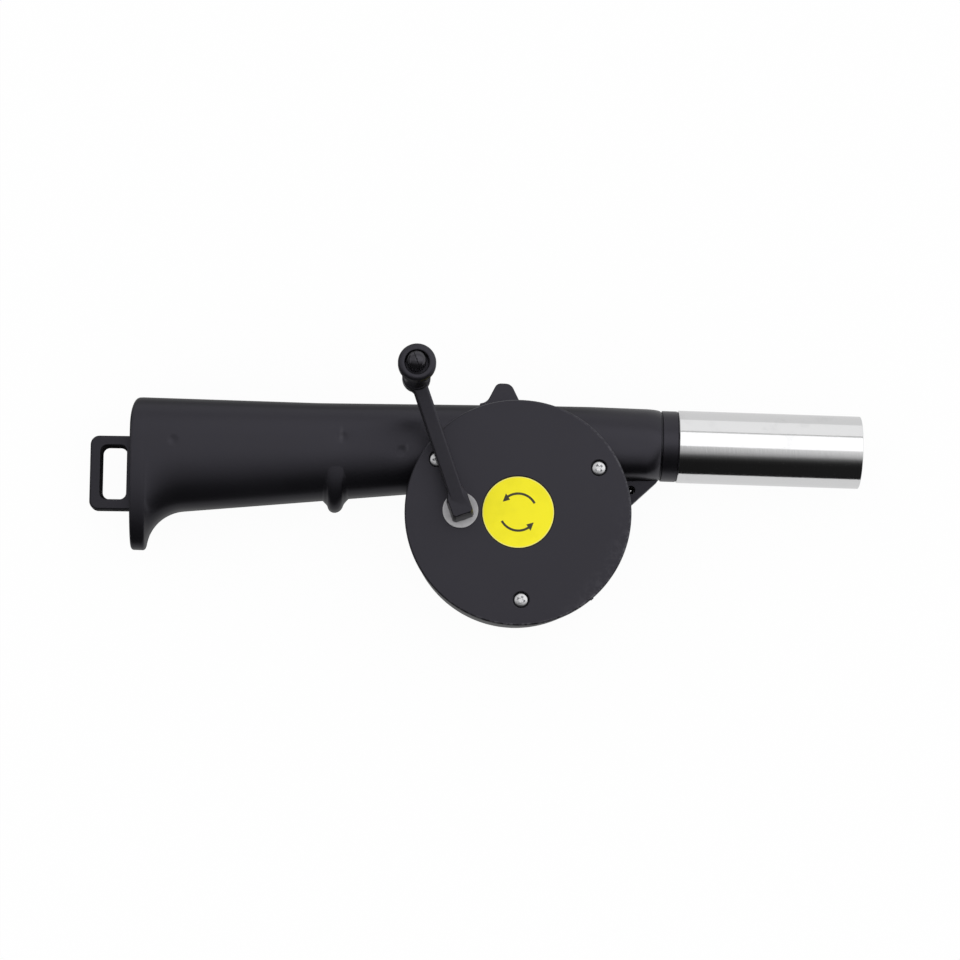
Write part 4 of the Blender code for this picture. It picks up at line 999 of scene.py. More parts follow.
def laid_on_duct(item: Item) -> Item:
    """Turn an upright solid about the origin so that it lies on the duct's axis."""
    shift = Matrix.Translation((0.0, LAYOUT.duct_axis_y, LAYOUT.parting_z))
    item.data.transform(shift @ Matrix.Rotation(math.pi / 2, 4, "Y"))
    return item


class Section(NamedTuple):
    """Cross section of the handle and duct."""

    top: float
    middle: float
    depth: float
    square_top: float
    square_bottom: float


@dataclass
class MouldedBody:
    """Both moulded halves: handle, fan case, duct and nozzle spigot."""

    lean: float = 0.027
    flange: float = 6.5 * MM
    flange_edge: float = 1.4 * MM
    butt_edge: float = 1.3 * MM
    butt_top_edge: float = 3.9 * MM
    butt_top_fall: float = 11.7 * MM
    butt_squareness: float = 3.0
    flare_radius: float = 14.1 * MM
    top_at_butt: float = 38.1 * MM
    rise_start_x: float = -70.0 * MM
    rise_end_x: float = 25.0 * MM
    middle_at_butt: float = 20.5 * MM
    half_depth_at_butt: float = 14.4 * MM
    underside_at_case: float = 11.75 * MM
    underside_slope: float = 0.1105
    square_top: float = 3.0
    square_bottom: float = 2.6
    duct_square_top: float = 2.2
    duct_square_bottom: float = 3.5
    section_points: int = 112
    ring_spacing: float = 2.4 * MM
    butt_rings: int = 14
    shoulder_rings: int = 12
    case_edge: float = 4.0 * MM
    duct_x: float = 42.35 * MM
    duct_mouth_x: float = 4.0 * MM
    shoulder_x: float = 44.35 * MM
    shoulder_length: float = 5.25 * MM
    shoulder_radius: float = 12.1 * MM
    neck_x: float = 48.75 * MM
    neck_radius: float = 11.6 * MM
    collar_x: float = 50.05 * MM
    collar_radius: float = 12.4 * MM
    collar_edge: float = 0.3 * MM
    spigot_radius: float = 11.9 * MM
    spigot_length: float = 12.0 * MM
    bore_radius: float = 10.2 * MM
    thumb_x: float = -5.95 * MM
    thumb_top_width: float = 1.6 * MM
    thumb_back_crown: float = 2.3 * MM
    thumb_front_crown: float = 3.1 * MM
    thumb_back_reach: float = 8.0 * MM
    thumb_front_reach: float = 6.4 * MM
    thumb_flank_tilt: float = 25.0
    thumb_fillet: float = 3.6 * MM
    thumb_height: float = 7.2 * MM
    thumb_edge: float = 0.8 * MM
    thumb_screw_rise: float = 3.2 * MM
    lug_bottom_z: float = 7.5 * MM
    lug_top_z: float = 21.8 * MM
    rib_x: float = -63.25 * MM
    rib_tip_width: float = 5.5 * MM
    rib_base_width: float = 9.5 * MM
    rib_shoulder: float = 0.3 * MM
    rib_height: float = 4.6 * MM
    rib_spacing: float = 0.35 * MM
    web_thickness: float = 6.0 * MM
    web_foot_angle: float = 4.5
    web_draft: float = 0.16
    web_screw_length: float = 5.6 * MM
    web_screw_out: float = 2.5 * MM
    web_screw_down: float = 3.3 * MM
    web_edge: float = 0.4 * MM
    fan_hole_radius: float = 4.0 * MM
    spigot_edge: float = 0.4 * MM
    shell_pilot_rest: float = 1.0 * MM
    cover_pilot_rest: float = 0.5 * MM
    trim: float = 10.0 * MM
    sink_depth: float = 0.24 * MM
    sink_radius: float = 2.6 * MM
    # Painted highlights over two of the screw bosses' sink marks: x, y, width and height.
    sink_highlights: tuple[tuple[float, float, float, float], ...] = (
        (-61.7 * MM, 25.9 * MM, 1.1 * MM, 4.2 * MM), (-38.8 * MM, 22.1 * MM, 0.9 * MM, 2.2 * MM))
    inlet_slots: int = 16
    inlet_inner_radius: float = 8.0 * MM
    inlet_outer_radius: float = 20.0 * MM
    inlet_slot_width: float = 2.2 * MM
    handle_screws: tuple[Point, ...] = (
        (-119.7 * MM, 1.0 * MM), (-61.2 * MM, 1.7 * MM), (-40.7 * MM, -3.2 * MM))

    def underside(self, x: float) -> float:
        """Height of the body's lower line at x, without the flare."""
        if x < 0:
            return self.underside_at_case + self.underside_slope * x
        return between(x, 0.0, self.duct_x, self.underside_at_case, LAYOUT.duct_axis_y - LAYOUT.duct_radius)

    def section(self, x: float) -> Section:
        """Cross section at x."""
        butt, end = LAYOUT.butt_x, self.duct_x
        top_at_case = LAYOUT.duct_axis_y + LAYOUT.duct_radius
        return Section(
            between(x, self.rise_start_x, self.rise_end_x, self.top_at_butt, top_at_case),
            between(x, butt, end, self.middle_at_butt, LAYOUT.duct_axis_y),
            between(x, butt, end, self.half_depth_at_butt, LAYOUT.duct_radius),
            self.squareness(x, self.square_top, self.duct_square_top),
            self.squareness(x, self.square_bottom, self.duct_square_bottom))

    def squareness(self, x: float, at_handle: float, at_duct: float) -> float:
        """Power of the section at x: it eases from handle to duct and turns round at the neck."""
        along = between(x, 0.0, self.duct_x, at_handle, at_duct)
        return between(x, self.shoulder_x, self.shoulder_x + self.shoulder_length, along, 2.0)

    def butt_lean(self, x: float, y: float) -> float:
        """How far the leaning end face shifts a point near the butt towards the case."""
        fade = between(x, LAYOUT.butt_x, LAYOUT.butt_x + self.flange, 1.0, 0.0)
        return self.lean * (self.top_at_butt - y) * fade

    def ring(self, x: float, bottom: float, inset: float = 0.0, edge: float = 0.0) -> Ring:
        """Points round the body: two half superellipses that share a middle line.

        Args:
            x: Place along the body.
            bottom: Height of the ring's lowest point.
            inset: How far the ring lies inside the surface.
            edge: How far round the butt's rounded end the ring lies, from 0 to 1.

        Returns:
            The ring's points.
        """
        form = self.section(x)
        turn = edge * math.pi / 2
        shrink = 1 - max(math.cos(turn), 0.0) ** (2 / self.butt_squareness)
        slide = 1 - math.sin(turn) ** (2 / self.butt_squareness) if edge else 0.0
        points = []
        for i in range(self.section_points):
            angle = 2 * math.pi * i / self.section_points
            side, rise = math.cos(angle), math.sin(angle)
            square = form.square_top if rise > 0 else form.square_bottom
            reach = (form.top - form.middle if rise > 0 else form.middle - bottom) - inset
            upward = max(rise, 0.0)
            fall = self.butt_edge + (self.butt_top_fall - self.butt_edge) * upward
            length = self.butt_edge + (self.butt_top_edge - self.butt_edge) * upward
            y = form.middle + (reach - fall * shrink) * signed_power(rise, 2 / square)
            z = (form.depth - inset - self.butt_edge * shrink) * signed_power(side, 2 / square)
            points.append((x + length * slide + self.butt_lean(x, y), y, LAYOUT.parting_z + z))
        return points

    def flare_rings(self, inset: float, steps: int = 18) -> tuple[list[Ring], float]:
        """Rings where the handle's lower line curves down into the butt.

        Args:
            inset: How far the rings lie inside the surface.
            steps: Number of gaps between the rings.

        Returns:
            The rings and the height of the flare's tip.
        """
        slope = math.atan(self.underside_slope)
        centre_x = LAYOUT.butt_x + self.flange + self.flare_radius
        tangent_x = centre_x - self.flare_radius * math.sin(slope)
        centre_y = self.underside(tangent_x) - self.flare_radius * math.cos(slope)
        radius = self.flare_radius + inset
        last = math.acos(inset / radius)
        rings = []
        for i in range(steps + 1):
            angle = last + (slope - last) * i / steps
            x = centre_x - radius * math.sin(angle)
            rings.append(self.ring(x, centre_y + radius * math.cos(angle) - inset, inset))
        return rings, centre_y

    def flange_round(self, tip_y: float, steps: int = 6) -> list[Ring]:
        """Rings round the lower inner edge of the butt's flange.

        Args:
            tip_y: Height of the flange's tip.
            steps: Number of gaps between the rings.

        Returns:
            The rings, from the tip up to the flare.
        """
        edge, far = self.flange_edge, LAYOUT.butt_x + self.flange
        rings = []
        for i in range(steps + 1):
            turn = math.pi / 2 * i / steps
            x = far - edge + edge * math.sin(turn)
            rings.append(self.ring(x, tip_y + edge * (1 - math.cos(turn))))
        return rings

    @property
    def handle_screw_places(self) -> list[Point]:
        """Where the handle's screws stand."""
        return [(x, self.section(x).middle + rise) for x, rise in self.handle_screws]

    @property
    def shell_screw_places(self) -> list[Point]:
        """Where all the screws between the halves stand."""
        thumb = (self.thumb_x, self.section(self.thumb_x).top + self.thumb_screw_rise)
        web = (LAYOUT.case_radius + self.web_screw_out,
               LAYOUT.duct_axis_y - LAYOUT.duct_radius - self.web_screw_down)
        return [*self.handle_screw_places, thumb, web]

    def sunk(self, ring: Ring) -> Ring:
        """Ring with the shallow sink marks that the screw bosses leave on the front."""
        points = []
        for x, y, z in ring:
            if z > LAYOUT.parting_z:
                for sink_x, sink_y in self.handle_screw_places:
                    away = math.hypot(x - sink_x, y - sink_y) / self.sink_radius
                    z -= self.sink_depth * math.exp(-away ** 2)
            points.append((x, y, z))
        return points

    def outside(self) -> Item:
        """Outer form of both halves in one solid."""
        flare, tip_y = self.flare_rings(0.0)
        steps, count = self.butt_rings, self.shoulder_rings
        shares = [math.sin(math.pi / 2 * i / steps) for i in range(steps, 0, -1)]
        rings = [self.ring(LAYOUT.butt_x, tip_y, edge=share) for share in shares]
        rings.append([(x + self.butt_top_edge, y, z) for x, y, z in self.ring(LAYOUT.butt_x, tip_y)])
        rings += self.flange_round(tip_y)
        rings += [ring for ring in flare if min(y for _, y, _ in ring) > tip_y + self.flange_edge]
        start = flare[-1][0][0]
        steps = round((self.duct_x - start) / self.ring_spacing)
        for i in range(1, steps + 1):
            x = start + (self.duct_x - start) * i / steps
            rings.append(self.sunk(self.ring(x, self.underside(x))))
        for step in range(count + 1):
            angle = step * math.pi / (2 * count)
            x = self.shoulder_x + self.shoulder_length * math.sin(angle)
            shrink = (LAYOUT.duct_radius - self.shoulder_radius) * (1 - math.cos(angle))
            ring = self.ring(x, self.underside(self.duct_x), inset=shrink)
            rings.append([(x, y, z) for _, y, z in ring])
        body = loft("moulded_outside", rings)
        parts = [self.case_drum(), self.nozzle_root(), self.thumb_stop(), self.finger_rib(),
                 *self.duct_web()]
        return settle(combine(body, Fusion.JOIN, parts))

    def case_drum(self) -> Item:
        """Drum of the fan case with a rounded back edge."""
        radius, edge, top, fine = LAYOUT.case_radius, self.case_edge, LAYOUT.case_top_z, LAYOUT.fine_edge
        profile = [(0.0, top), (radius - fine, top), (radius, top - fine)]
        profile += arc((radius - edge, edge), edge, 0, -90, 10) + [(0.0, 0.0)]
        return lathe("case_drum", profile, segments=160)

    def nozzle_root(self) -> Item:
        """Neck, collar and spigot, turned about the duct's axis."""
        end, edge, chamfer = LAYOUT.spigot_x + self.spigot_length, self.collar_edge, self.spigot_edge
        collar_end, collar, spigot = LAYOUT.spigot_x, self.collar_radius, self.spigot_radius
        profile = [(0.0, end), (spigot - chamfer, end), (spigot, end - chamfer), (spigot, collar_end)]
        profile += arc((collar - edge, collar_end - edge), edge, 90, 0, 4)
        profile += arc((collar - edge, self.collar_x + edge), edge, 0, -90, 4)
        profile += [(self.neck_radius, self.collar_x), (self.neck_radius, self.duct_x), (0.0, self.duct_x)]
        return laid_on_duct(lathe("nozzle_root", profile, segments=112))

    def thumb_stop(self) -> Item:
        """Hump on top of the handle whose back flank runs out in a hollow."""
        base_y = self.section(self.thumb_x).top
        low_y, top_y = base_y - LAYOUT.wall, base_y + self.thumb_height
        back, front = self.thumb_x - self.thumb_back_reach, self.thumb_x + self.thumb_front_reach
        half, tilt = self.thumb_top_width / 2, self.thumb_flank_tilt
        outline = [(front, low_y), (front, base_y)]
        crown = self.thumb_front_crown
        outline += arc((self.thumb_x + half, top_y - crown), crown, tilt, 90, 8)
        crown = self.thumb_back_crown
        outline += arc((self.thumb_x - half, top_y - crown), crown, 90, 180 - tilt, 8)
        outline += arc((back, base_y + self.thumb_fillet), self.thumb_fillet, -tilt, -90, 10)
        outline.append((back, low_y))
        stop = extruded("thumb_stop", [outline], self.lug_bottom_z, self.lug_top_z)
        return settle(bevelled(stop, self.thumb_edge, 5))

    def finger_rib(self) -> Item:
        """Ridge round the underside of the handle, fading out on its front and back."""
        gap = LAYOUT.seat_gap
        half_tip, half_base = self.rib_tip_width / 2, self.rib_base_width / 2
        shoulder, foot = half_tip + self.rib_shoulder, self.rib_height / 3
        tip = arc((0.0, self.rib_height - half_tip), half_tip, 180, 0, 10)
        steps = [(-half_base, -gap), (-shoulder, foot), *tip, (shoulder, foot), (half_base, -gap)]
        rings = []
        for offset, drop in softened(steps, self.rib_spacing, 3):
            x = self.rib_x + offset
            middle = self.section(x).middle
            ring = self.ring(x, self.underside(x) - drop - gap, inset=gap)
            rings.append([(px, min(py, middle), pz) for px, py, pz in ring])
        return loft("finger_rib", rings)

    def duct_web(self) -> list[Item]:
        """Web that ties the duct's neck to the case, and the screw boss in it."""
        x, y = self.shell_screw_places[-1]
        boss, fine, foot = LAYOUT.boss_radius, LAYOUT.fine_edge, LAYOUT.case_radius - LAYOUT.seat_gap
        outline = [(self.neck_x, LAYOUT.duct_axis_y - self.neck_radius + LAYOUT.wall),
                   (self.neck_x + LAYOUT.seat_gap, LAYOUT.duct_axis_y - LAYOUT.duct_radius),
                   polar(foot, self.web_foot_angle),
                   (LAYOUT.case_radius - LAYOUT.wall, LAYOUT.wall),
                   (x - 2 * boss, y + boss + LAYOUT.wall)]
        half = self.web_thickness / 2
        web = extruded("duct_web", [outline], LAYOUT.parting_z - half, LAYOUT.parting_z + half)
        for vertex in web.data.vertices:
            if vertex.co.z > LAYOUT.parting_z:
                vertex.co.z -= self.web_draft * (LAYOUT.duct_axis_y - self.neck_radius - vertex.co.y)
        top = LAYOUT.parting_z + half / 2
        profile = [(0.0, top), (boss - fine, top)] + arc((boss - fine, top - fine), fine, 90, 0, 3)
        profile += [(boss, self.lug_bottom_z), (0.0, self.lug_bottom_z)]
        return [settle(bevelled(web, self.web_edge, 3)), lathe("web_boss", profile, (x, y), segments=48)]

    def hollows(self) -> list[Item]:
        """Hollows that both halves share."""
        wall, parting = LAYOUT.wall, LAYOUT.parting_z
        flare, tip_y = self.flare_rings(wall)
        rings = [self.ring(LAYOUT.butt_x + wall, tip_y, inset=wall), *flare]
        rings += [self.ring(x, self.underside(x), inset=wall)
                  for x in (self.rise_start_x, -LAYOUT.case_radius / 2)]
        case = cylinder("case_in_handle", LAYOUT.case_radius, -wall, LAYOUT.cover_z, segments=160)
        handle = settle(combine(loft("handle_cavity", rings), Fusion.CUT, [case]))
        rings = [self.ring(x, self.underside(x), inset=wall)
                 for x in (self.duct_mouth_x, self.rise_end_x, self.duct_x, self.shoulder_x)]
        pocket = cylinder("pocket_over_duct", LAYOUT.case_radius, LAYOUT.partition_z - LAYOUT.seat_gap,
                          LAYOUT.cover_z, segments=160)
        duct = settle(combine(loft("duct_cavity", rings), Fusion.CUT, [pocket]))
        chamber = cylinder("fan_chamber", LAYOUT.case_radius - wall, wall, LAYOUT.partition_z, segments=128)
        end = LAYOUT.spigot_x + self.spigot_length + wall
        bore = laid_on_duct(cylinder("nozzle_bore", self.bore_radius, self.duct_x, end, segments=96))
        half, low = LAYOUT.loop_thickness / 2 + LAYOUT.seat_gap, LAYOUT.loop_bottom_y - LAYOUT.seat_gap
        high = LAYOUT.loop_bottom_y + LAYOUT.loop_height + LAYOUT.seat_gap
        slot = box("loop_slot", (LAYOUT.butt_x - wall, low, parting - half),
                   (self.loop_head_x() + wall, high, parting + half))
        return [handle, duct, chamber, bore, slot]

    def loop_head_x(self) -> float:
        """Where the hanging loop's head starts, just inside the butt's leaning end wall."""
        lowest = LAYOUT.loop_bottom_y - LAYOUT.loop_head_overlap
        return LAYOUT.butt_x + LAYOUT.wall + self.butt_lean(LAYOUT.butt_x, lowest) + LAYOUT.seat_gap

    def surface_depth(self, place: Point) -> float:
        """Half depth of the body where a handle screw stands."""
        x, y = place
        form = self.section(x)
        square, reach = form.square_top, form.top - form.middle
        if y < form.middle:
            square, reach = form.square_bottom, form.middle - self.underside(x)
        share = min(abs(y - form.middle) / reach, 1.0)
        return form.depth * (1 - share ** square) ** (1 / square)

    def half_block(self, name: str, bottom: float, top: float) -> Item:
        """Block that keeps one side of the parting plane."""
        return box(name, (CAD_LOW.x - self.trim, CAD_LOW.y - self.trim, bottom),
                   (CAD_HIGH.x + self.trim, CAD_HIGH.y + self.trim, top))

    def front(self, outside: Item, hollows: list[Item]) -> Item:
        """Front half: handle, duct, partition and gear pocket."""
        parting, wall, half_gap = LAYOUT.parting_z, LAYOUT.wall, LAYOUT.parting_gap / 2
        shell = self.half_block("body_front", parting + half_gap, 2 * LAYOUT.case_top_z)
        combine(shell, Fusion.KEEP, [outside])
        pocket = cylinder("gear_pocket", LAYOUT.case_radius - wall, LAYOUT.pocket_z, LAYOUT.cover_top_z,
                          segments=128)
        combine(shell, Fusion.CUT, [*hollows, pocket])
        in_handle, in_cover = self.handle_screw_places, LAYOUT.cover_screw_places
        heights = [parting + self.surface_depth(place) - wall / 2 for place in in_handle]
        bosses = posts("front_boss", LAYOUT.boss_radius, in_handle, parting + half_gap, heights)
        bosses += posts("cover_boss", LAYOUT.boss_radius, in_cover, LAYOUT.pocket_z - wall / 2,
                        LAYOUT.case_top_z - LAYOUT.parting_gap)
        combine(shell, Fusion.JOIN, bosses)
        end = LAYOUT.shell_seat_z + LAYOUT.screw_length + self.shell_pilot_rest
        tip = LAYOUT.cover_top_z - LAYOUT.screw_recess_depth - LAYOUT.screw_length - self.cover_pilot_rest
        hole = LAYOUT.screw_hole_radius
        pilots = posts("shell_pilot", hole, self.shell_screw_places, parting - wall, end, 24)
        pilots += posts("cover_pilot", hole, in_cover, tip, LAYOUT.cover_top_z, 24)
        pilots.append(cylinder("partition_hole", self.fan_hole_radius, wall, LAYOUT.pocket_z + wall,
                               JOINT_PLACES["fan_spin"].xy, 48))
        return settle(combine(shell, Fusion.CUT, pilots))

    def rear(self, outside: Item, hollows: list[Item]) -> Item:
        """Rear half: handle, duct and the back of the fan case with its inlet slots."""
        parting, wall, half_gap = LAYOUT.parting_z, LAYOUT.wall, LAYOUT.parting_gap / 2
        shell = self.half_block("body_rear", -wall, parting - half_gap)
        combine(shell, Fusion.KEEP, [outside])
        combine(shell, Fusion.CUT, hollows)
        for number, place in enumerate(self.handle_screw_places):
            boss = cylinder(f"rear_boss_{number}", LAYOUT.recess_radius + LAYOUT.boss_wall / 2,
                            parting - self.surface_depth(place) + wall / 2, parting - half_gap, place)
            combine(shell, Fusion.JOIN, [boss])
        places, seat = self.shell_screw_places, LAYOUT.shell_seat_z
        recesses = posts("shell_recess", LAYOUT.recess_radius, places, -wall, seat)
        holes = posts("shell_hole", LAYOUT.screw_hole_radius, places, seat - wall, parting + wall, 24)
        cuts = [tool for pair in zip(recesses, holes) for tool in pair]
        return settle(combine(shell, Fusion.CUT, [*cuts, self.inlet()]))

    def inlet(self) -> Item:
        """Ring of round-ended radial slots through the back of the case."""
        half = self.inlet_slot_width / 2
        inner, outer = self.inlet_inner_radius + half, self.inlet_outer_radius - half
        slot = arc((outer, 0.0), half, -90, 90, 8) + arc((inner, 0.0), half, 90, 270, 8)
        outlines = []
        for i in range(self.inlet_slots):
            turn = Matrix.Rotation(2 * math.pi * i / self.inlet_slots, 2)
            outlines.append([tuple(turn @ Vector(point)) for point in slot])
        return extruded("inlet_slots", outlines, -LAYOUT.wall, 2 * LAYOUT.wall)

    def build(self) -> None:
        """Make and dress both halves."""
        outside = self.outside()
        outside["spare"] = True
        hollows = self.hollows()
        # The front half carries the sink marks' bumps and their painted highlights.
        marked = replace(BODY_BLACK, name="body_black_front", sinks=tuple(self.handle_screw_places),
                         sink_highlights=self.sink_highlights)
        hand_over(self.front(outside, hollows), marked, Body.HOUSING, ["front_shell"])
        hand_over(self.rear(outside, hollows), BODY_BLACK, Body.HOUSING, ["rear_shell"])


@dataclass
class GearCover:
    """Round cover of the gear pocket, with its badge."""

    edge: float = 0.6 * MM
    under_edge: float = 0.25 * MM
    chamfer: float = 0.2 * MM
    crank_hole_radius: float = 3.75 * MM
    badge_radius: float = 12.3 * MM
    badge_stands_out: float = 0.1 * MM
    badge_thickness: float = 0.35 * MM
    badge_edge: float = 0.12 * MM
    badge_play: float = 0.15 * MM
    label_highlight_width: float = 0.4 * MM
    nub_angle: float = -47.9
    nub_width: float = 1.1 * MM
    nub_reach: float = 0.25 * MM
    nub_root: float = 1.0 * MM
    nub_rise: float = 0.6 * MM
    nub_drop: float = 0.9 * MM
    arrow_radius: float = 6.4 * MM
    arrow_stroke: float = 0.8 * MM
    arrow_head: float = 2.6 * MM
    arrow_sweep: float = 118.0
    arrow_starts: Point = (30.0, 210.0)
    ink_height: float = 0.03 * MM

    def cover(self) -> Item:
        """Disc with rounded rim, screw recesses, badge recess and crank hole."""
        radius, top, bottom = LAYOUT.cover_radius, LAYOUT.cover_top_z, LAYOUT.cover_z
        profile = [(0.0, top)] + arc((radius - self.edge, top - self.edge), self.edge, 90, 0, 6)
        profile += arc((radius - self.under_edge, bottom + self.under_edge), self.under_edge, 0, -90, 3)
        disc = lathe("cover_disc", profile + [(0.0, bottom)], segments=192)
        tools = []
        for number, place in enumerate(LAYOUT.cover_screw_places):
            tools += self.well(f"screw_well_{number}", LAYOUT.recess_radius,
                               top - LAYOUT.screw_recess_depth, place, 48)
            tools.append(cylinder(f"screw_way_{number}", LAYOUT.screw_hole_radius, bottom - LAYOUT.wall,
                                  top, place, 24))
        floor = top + self.badge_stands_out - self.badge_thickness - LAYOUT.seat_gap
        tools += self.well("badge_well", self.badge_radius + self.badge_play, floor, (0.0, 0.0), 128)
        tools += self.well("crank_well", self.crank_hole_radius, bottom - LAYOUT.wall,
                           JOINT_PLACES["crank_turn"].xy, 64)
        combine(disc, Fusion.CUT, tools)
        reach, half = LAYOUT.cover_radius + self.nub_reach, self.nub_width / 2
        nub = box("gate_nub", (LAYOUT.cover_radius - self.nub_root, -half, bottom + self.nub_rise),
                  (reach, half, top - self.nub_drop))
        nub.data.transform(Matrix.Rotation(math.radians(self.nub_angle), 4, "Z"))
        return settle(combine(disc, Fusion.JOIN, [nub]))

    def well(self, name: str, radius: float, floor: float, place: Sequence[float],
             segments: int) -> list[Item]:
        """Cutters for a round recess with a broken edge.

        Args:
            name: Name of the cutters.
            radius: The recess's radius.
            floor: Level of its floor.
            place: Where its axis stands.
            segments: Facets round it.

        Returns:
            The cutters.
        """
        top = LAYOUT.cover_top_z
        rim = cylinder(f"{name}_rim", radius, top - self.chamfer, top + self.chamfer, place, segments,
                       flare=2 * self.chamfer)
        return [cylinder(name, radius, floor, top + LAYOUT.wall, place, segments), rim]

    def badge(self) -> Item:
        """Thin label disc with a rounded edge."""
        top, radius, edge = LAYOUT.cover_top_z + self.badge_stands_out, self.badge_radius, self.badge_edge
        profile = [(0.0, top)] + arc((radius - edge, top - edge), edge, 90, 0, 4)
        profile += [(radius, top - self.badge_thickness), (0.0, top - self.badge_thickness)]
        return settle(lathe("badge_disc", profile, segments=160))

    def arrows(self) -> Item:
        """Two printed arrows that show which way the crank turns."""
        half, head, radius = self.arrow_stroke / 2, self.arrow_head / 2, self.arrow_radius
        middle, outlines = (0.0, 0.0), []
        for start in self.arrow_starts:
            end = start + self.arrow_sweep
            neck = end - math.degrees(self.arrow_head / radius)
            outlines.append([*arc(middle, radius + half, start, neck, 28), polar(radius + head, neck),
                             polar(radius, end), polar(radius - head, neck),
                             *arc(middle, radius - half, neck, start, 28)])
        top = LAYOUT.cover_top_z + self.badge_stands_out
        low = top - self.badge_thickness / 2
        return settle(extruded("badge_arrows", outlines, low, top + self.ink_height))

    def build(self) -> None:
        """Make and dress the cover and its badge."""
        hand_over(self.cover(), COVER_BLACK, Body.HOUSING, ["gear_cover"])
        top = LAYOUT.cover_top_z + self.badge_stands_out
        # The label's paler outer ring is a painted highlight of its edge.
        label = PrintedLabel("badge_yellow", (0.97, 0.87, 0.012), (0.88, 0.82, 0.25),
                             self.badge_radius - self.label_highlight_width, (0.0, 0.0, top))
        hand_over(self.badge(), label, Body.HOUSING, ["badge"])
        hand_over(self.arrows(), BADGE_INK, Body.HOUSING)


@dataclass
class CrossScrew:
    """Pan-head screw with a cross recess and a threaded shank."""

    head_height: float = 1.5 * MM
    dome: float = 0.7 * MM
    shank_radius: float = 1.05 * MM
    thread_radius: float = 1.2 * MM
    pitch: float = 0.9 * MM
    point: float = 1.8 * MM
    cross_length: float = 1.55 * MM
    cross_width: float = 0.42 * MM
    cross_rings: tuple[Point, ...] = ((0.55, -0.95 * MM), (1.0, 0.0), (1.1, 0.5 * MM))
    head_edge: float = 0.15 * MM
    head_power: float = 0.9
    thread_shares: Spot = (0.45, 0.7, 0.95)
    cover_turns: Spot = (12.0, 38.0, -20.0)
    shell_turn: float = 31.0

    def profile(self, length: float) -> list[Point]:
        """Half section of head, threaded shank and point, the shank being of the length given."""
        head, radius = self.head_height, LAYOUT.screw_head_radius
        points = domed(radius, head, self.dome, 10, self.head_power)
        points += [(radius, self.head_edge), (radius - self.head_edge, 0.0)]
        end = self.point - length
        depth = 0.0
        radii = (self.shank_radius, self.thread_radius, self.shank_radius)
        while depth - self.pitch > end:
            points.append((self.shank_radius, depth))
            points += [(wide, depth - share * self.pitch) for wide, share in zip(radii, self.thread_shares)]
            depth -= self.pitch
        return points + [(self.shank_radius, end), (0.0, -length)]

    def cross(self) -> Item:
        """Cutter for the cross recess, narrower at its floor."""
        rings = []
        for share, height in self.cross_rings:
            long, wide = self.cross_length * share, self.cross_width * (0.6 + 0.4 * share)
            quarter = [(long, -wide), (long, wide), (wide, wide)]
            ring = []
            for step in range(4):
                turn = Matrix.Rotation(step * math.pi / 2, 2)
                ring += [(*(turn @ Vector(point)), self.head_height + height) for point in quarter]
            rings.append(ring)
        return loft("cross_cutter", rings)

    def build(self, name: str, place: Point, seat: float, upward: bool, turn: float,
              length: float = LAYOUT.screw_length) -> None:
        """Make and dress one screw.

        Args:
            name: The CAD node that it replaces.
            place: Where its axis stands.
            seat: Level that its head stands on.
            upward: Whether the head faces up.
            turn: Angle of its cross in degrees.
            length: Length of its shank.
        """
        body = lathe(f"{name}_detail", self.profile(length), segments=40)
        combine(body, Fusion.CUT, [self.cross()])
        settle(body)
        flip = Matrix.Rotation(0.0 if upward else math.pi, 4, "X")
        level = seat + LAYOUT.seat_gap if upward else seat - LAYOUT.seat_gap
        stand = Matrix.Translation((*place, level)) @ flip @ Matrix.Rotation(math.radians(turn), 4, "Z")
        body.data.transform(stand)
        hand_over(body, SCREW_ZINC, Body.HOUSING, [name])


@dataclass
class NozzleTube:
    """Thin steel tube over the spigot."""

    length: float = 64.0 * MM
    edge: float = 0.18 * MM

    def build(self) -> None:
        """Make and dress the tube."""
        start = LAYOUT.spigot_x + LAYOUT.seat_gap
        mouth, outer, edge = start + self.length, LAYOUT.tube_radius, self.edge
        inner = outer - LAYOUT.tube_wall
        profile = arc((inner + edge, mouth - edge), edge, 180, 90, 3)
        profile += arc((outer - edge, mouth - edge), edge, 90, 0, 3)
        profile += [(outer, start + edge), (outer - edge, start), (inner, start)]
        tube = laid_on_duct(lathe("nozzle_steel", profile, segments=160))
        hand_over(settle(tube), TUBE_STEEL, Body.HOUSING, ["nozzle_tube"])


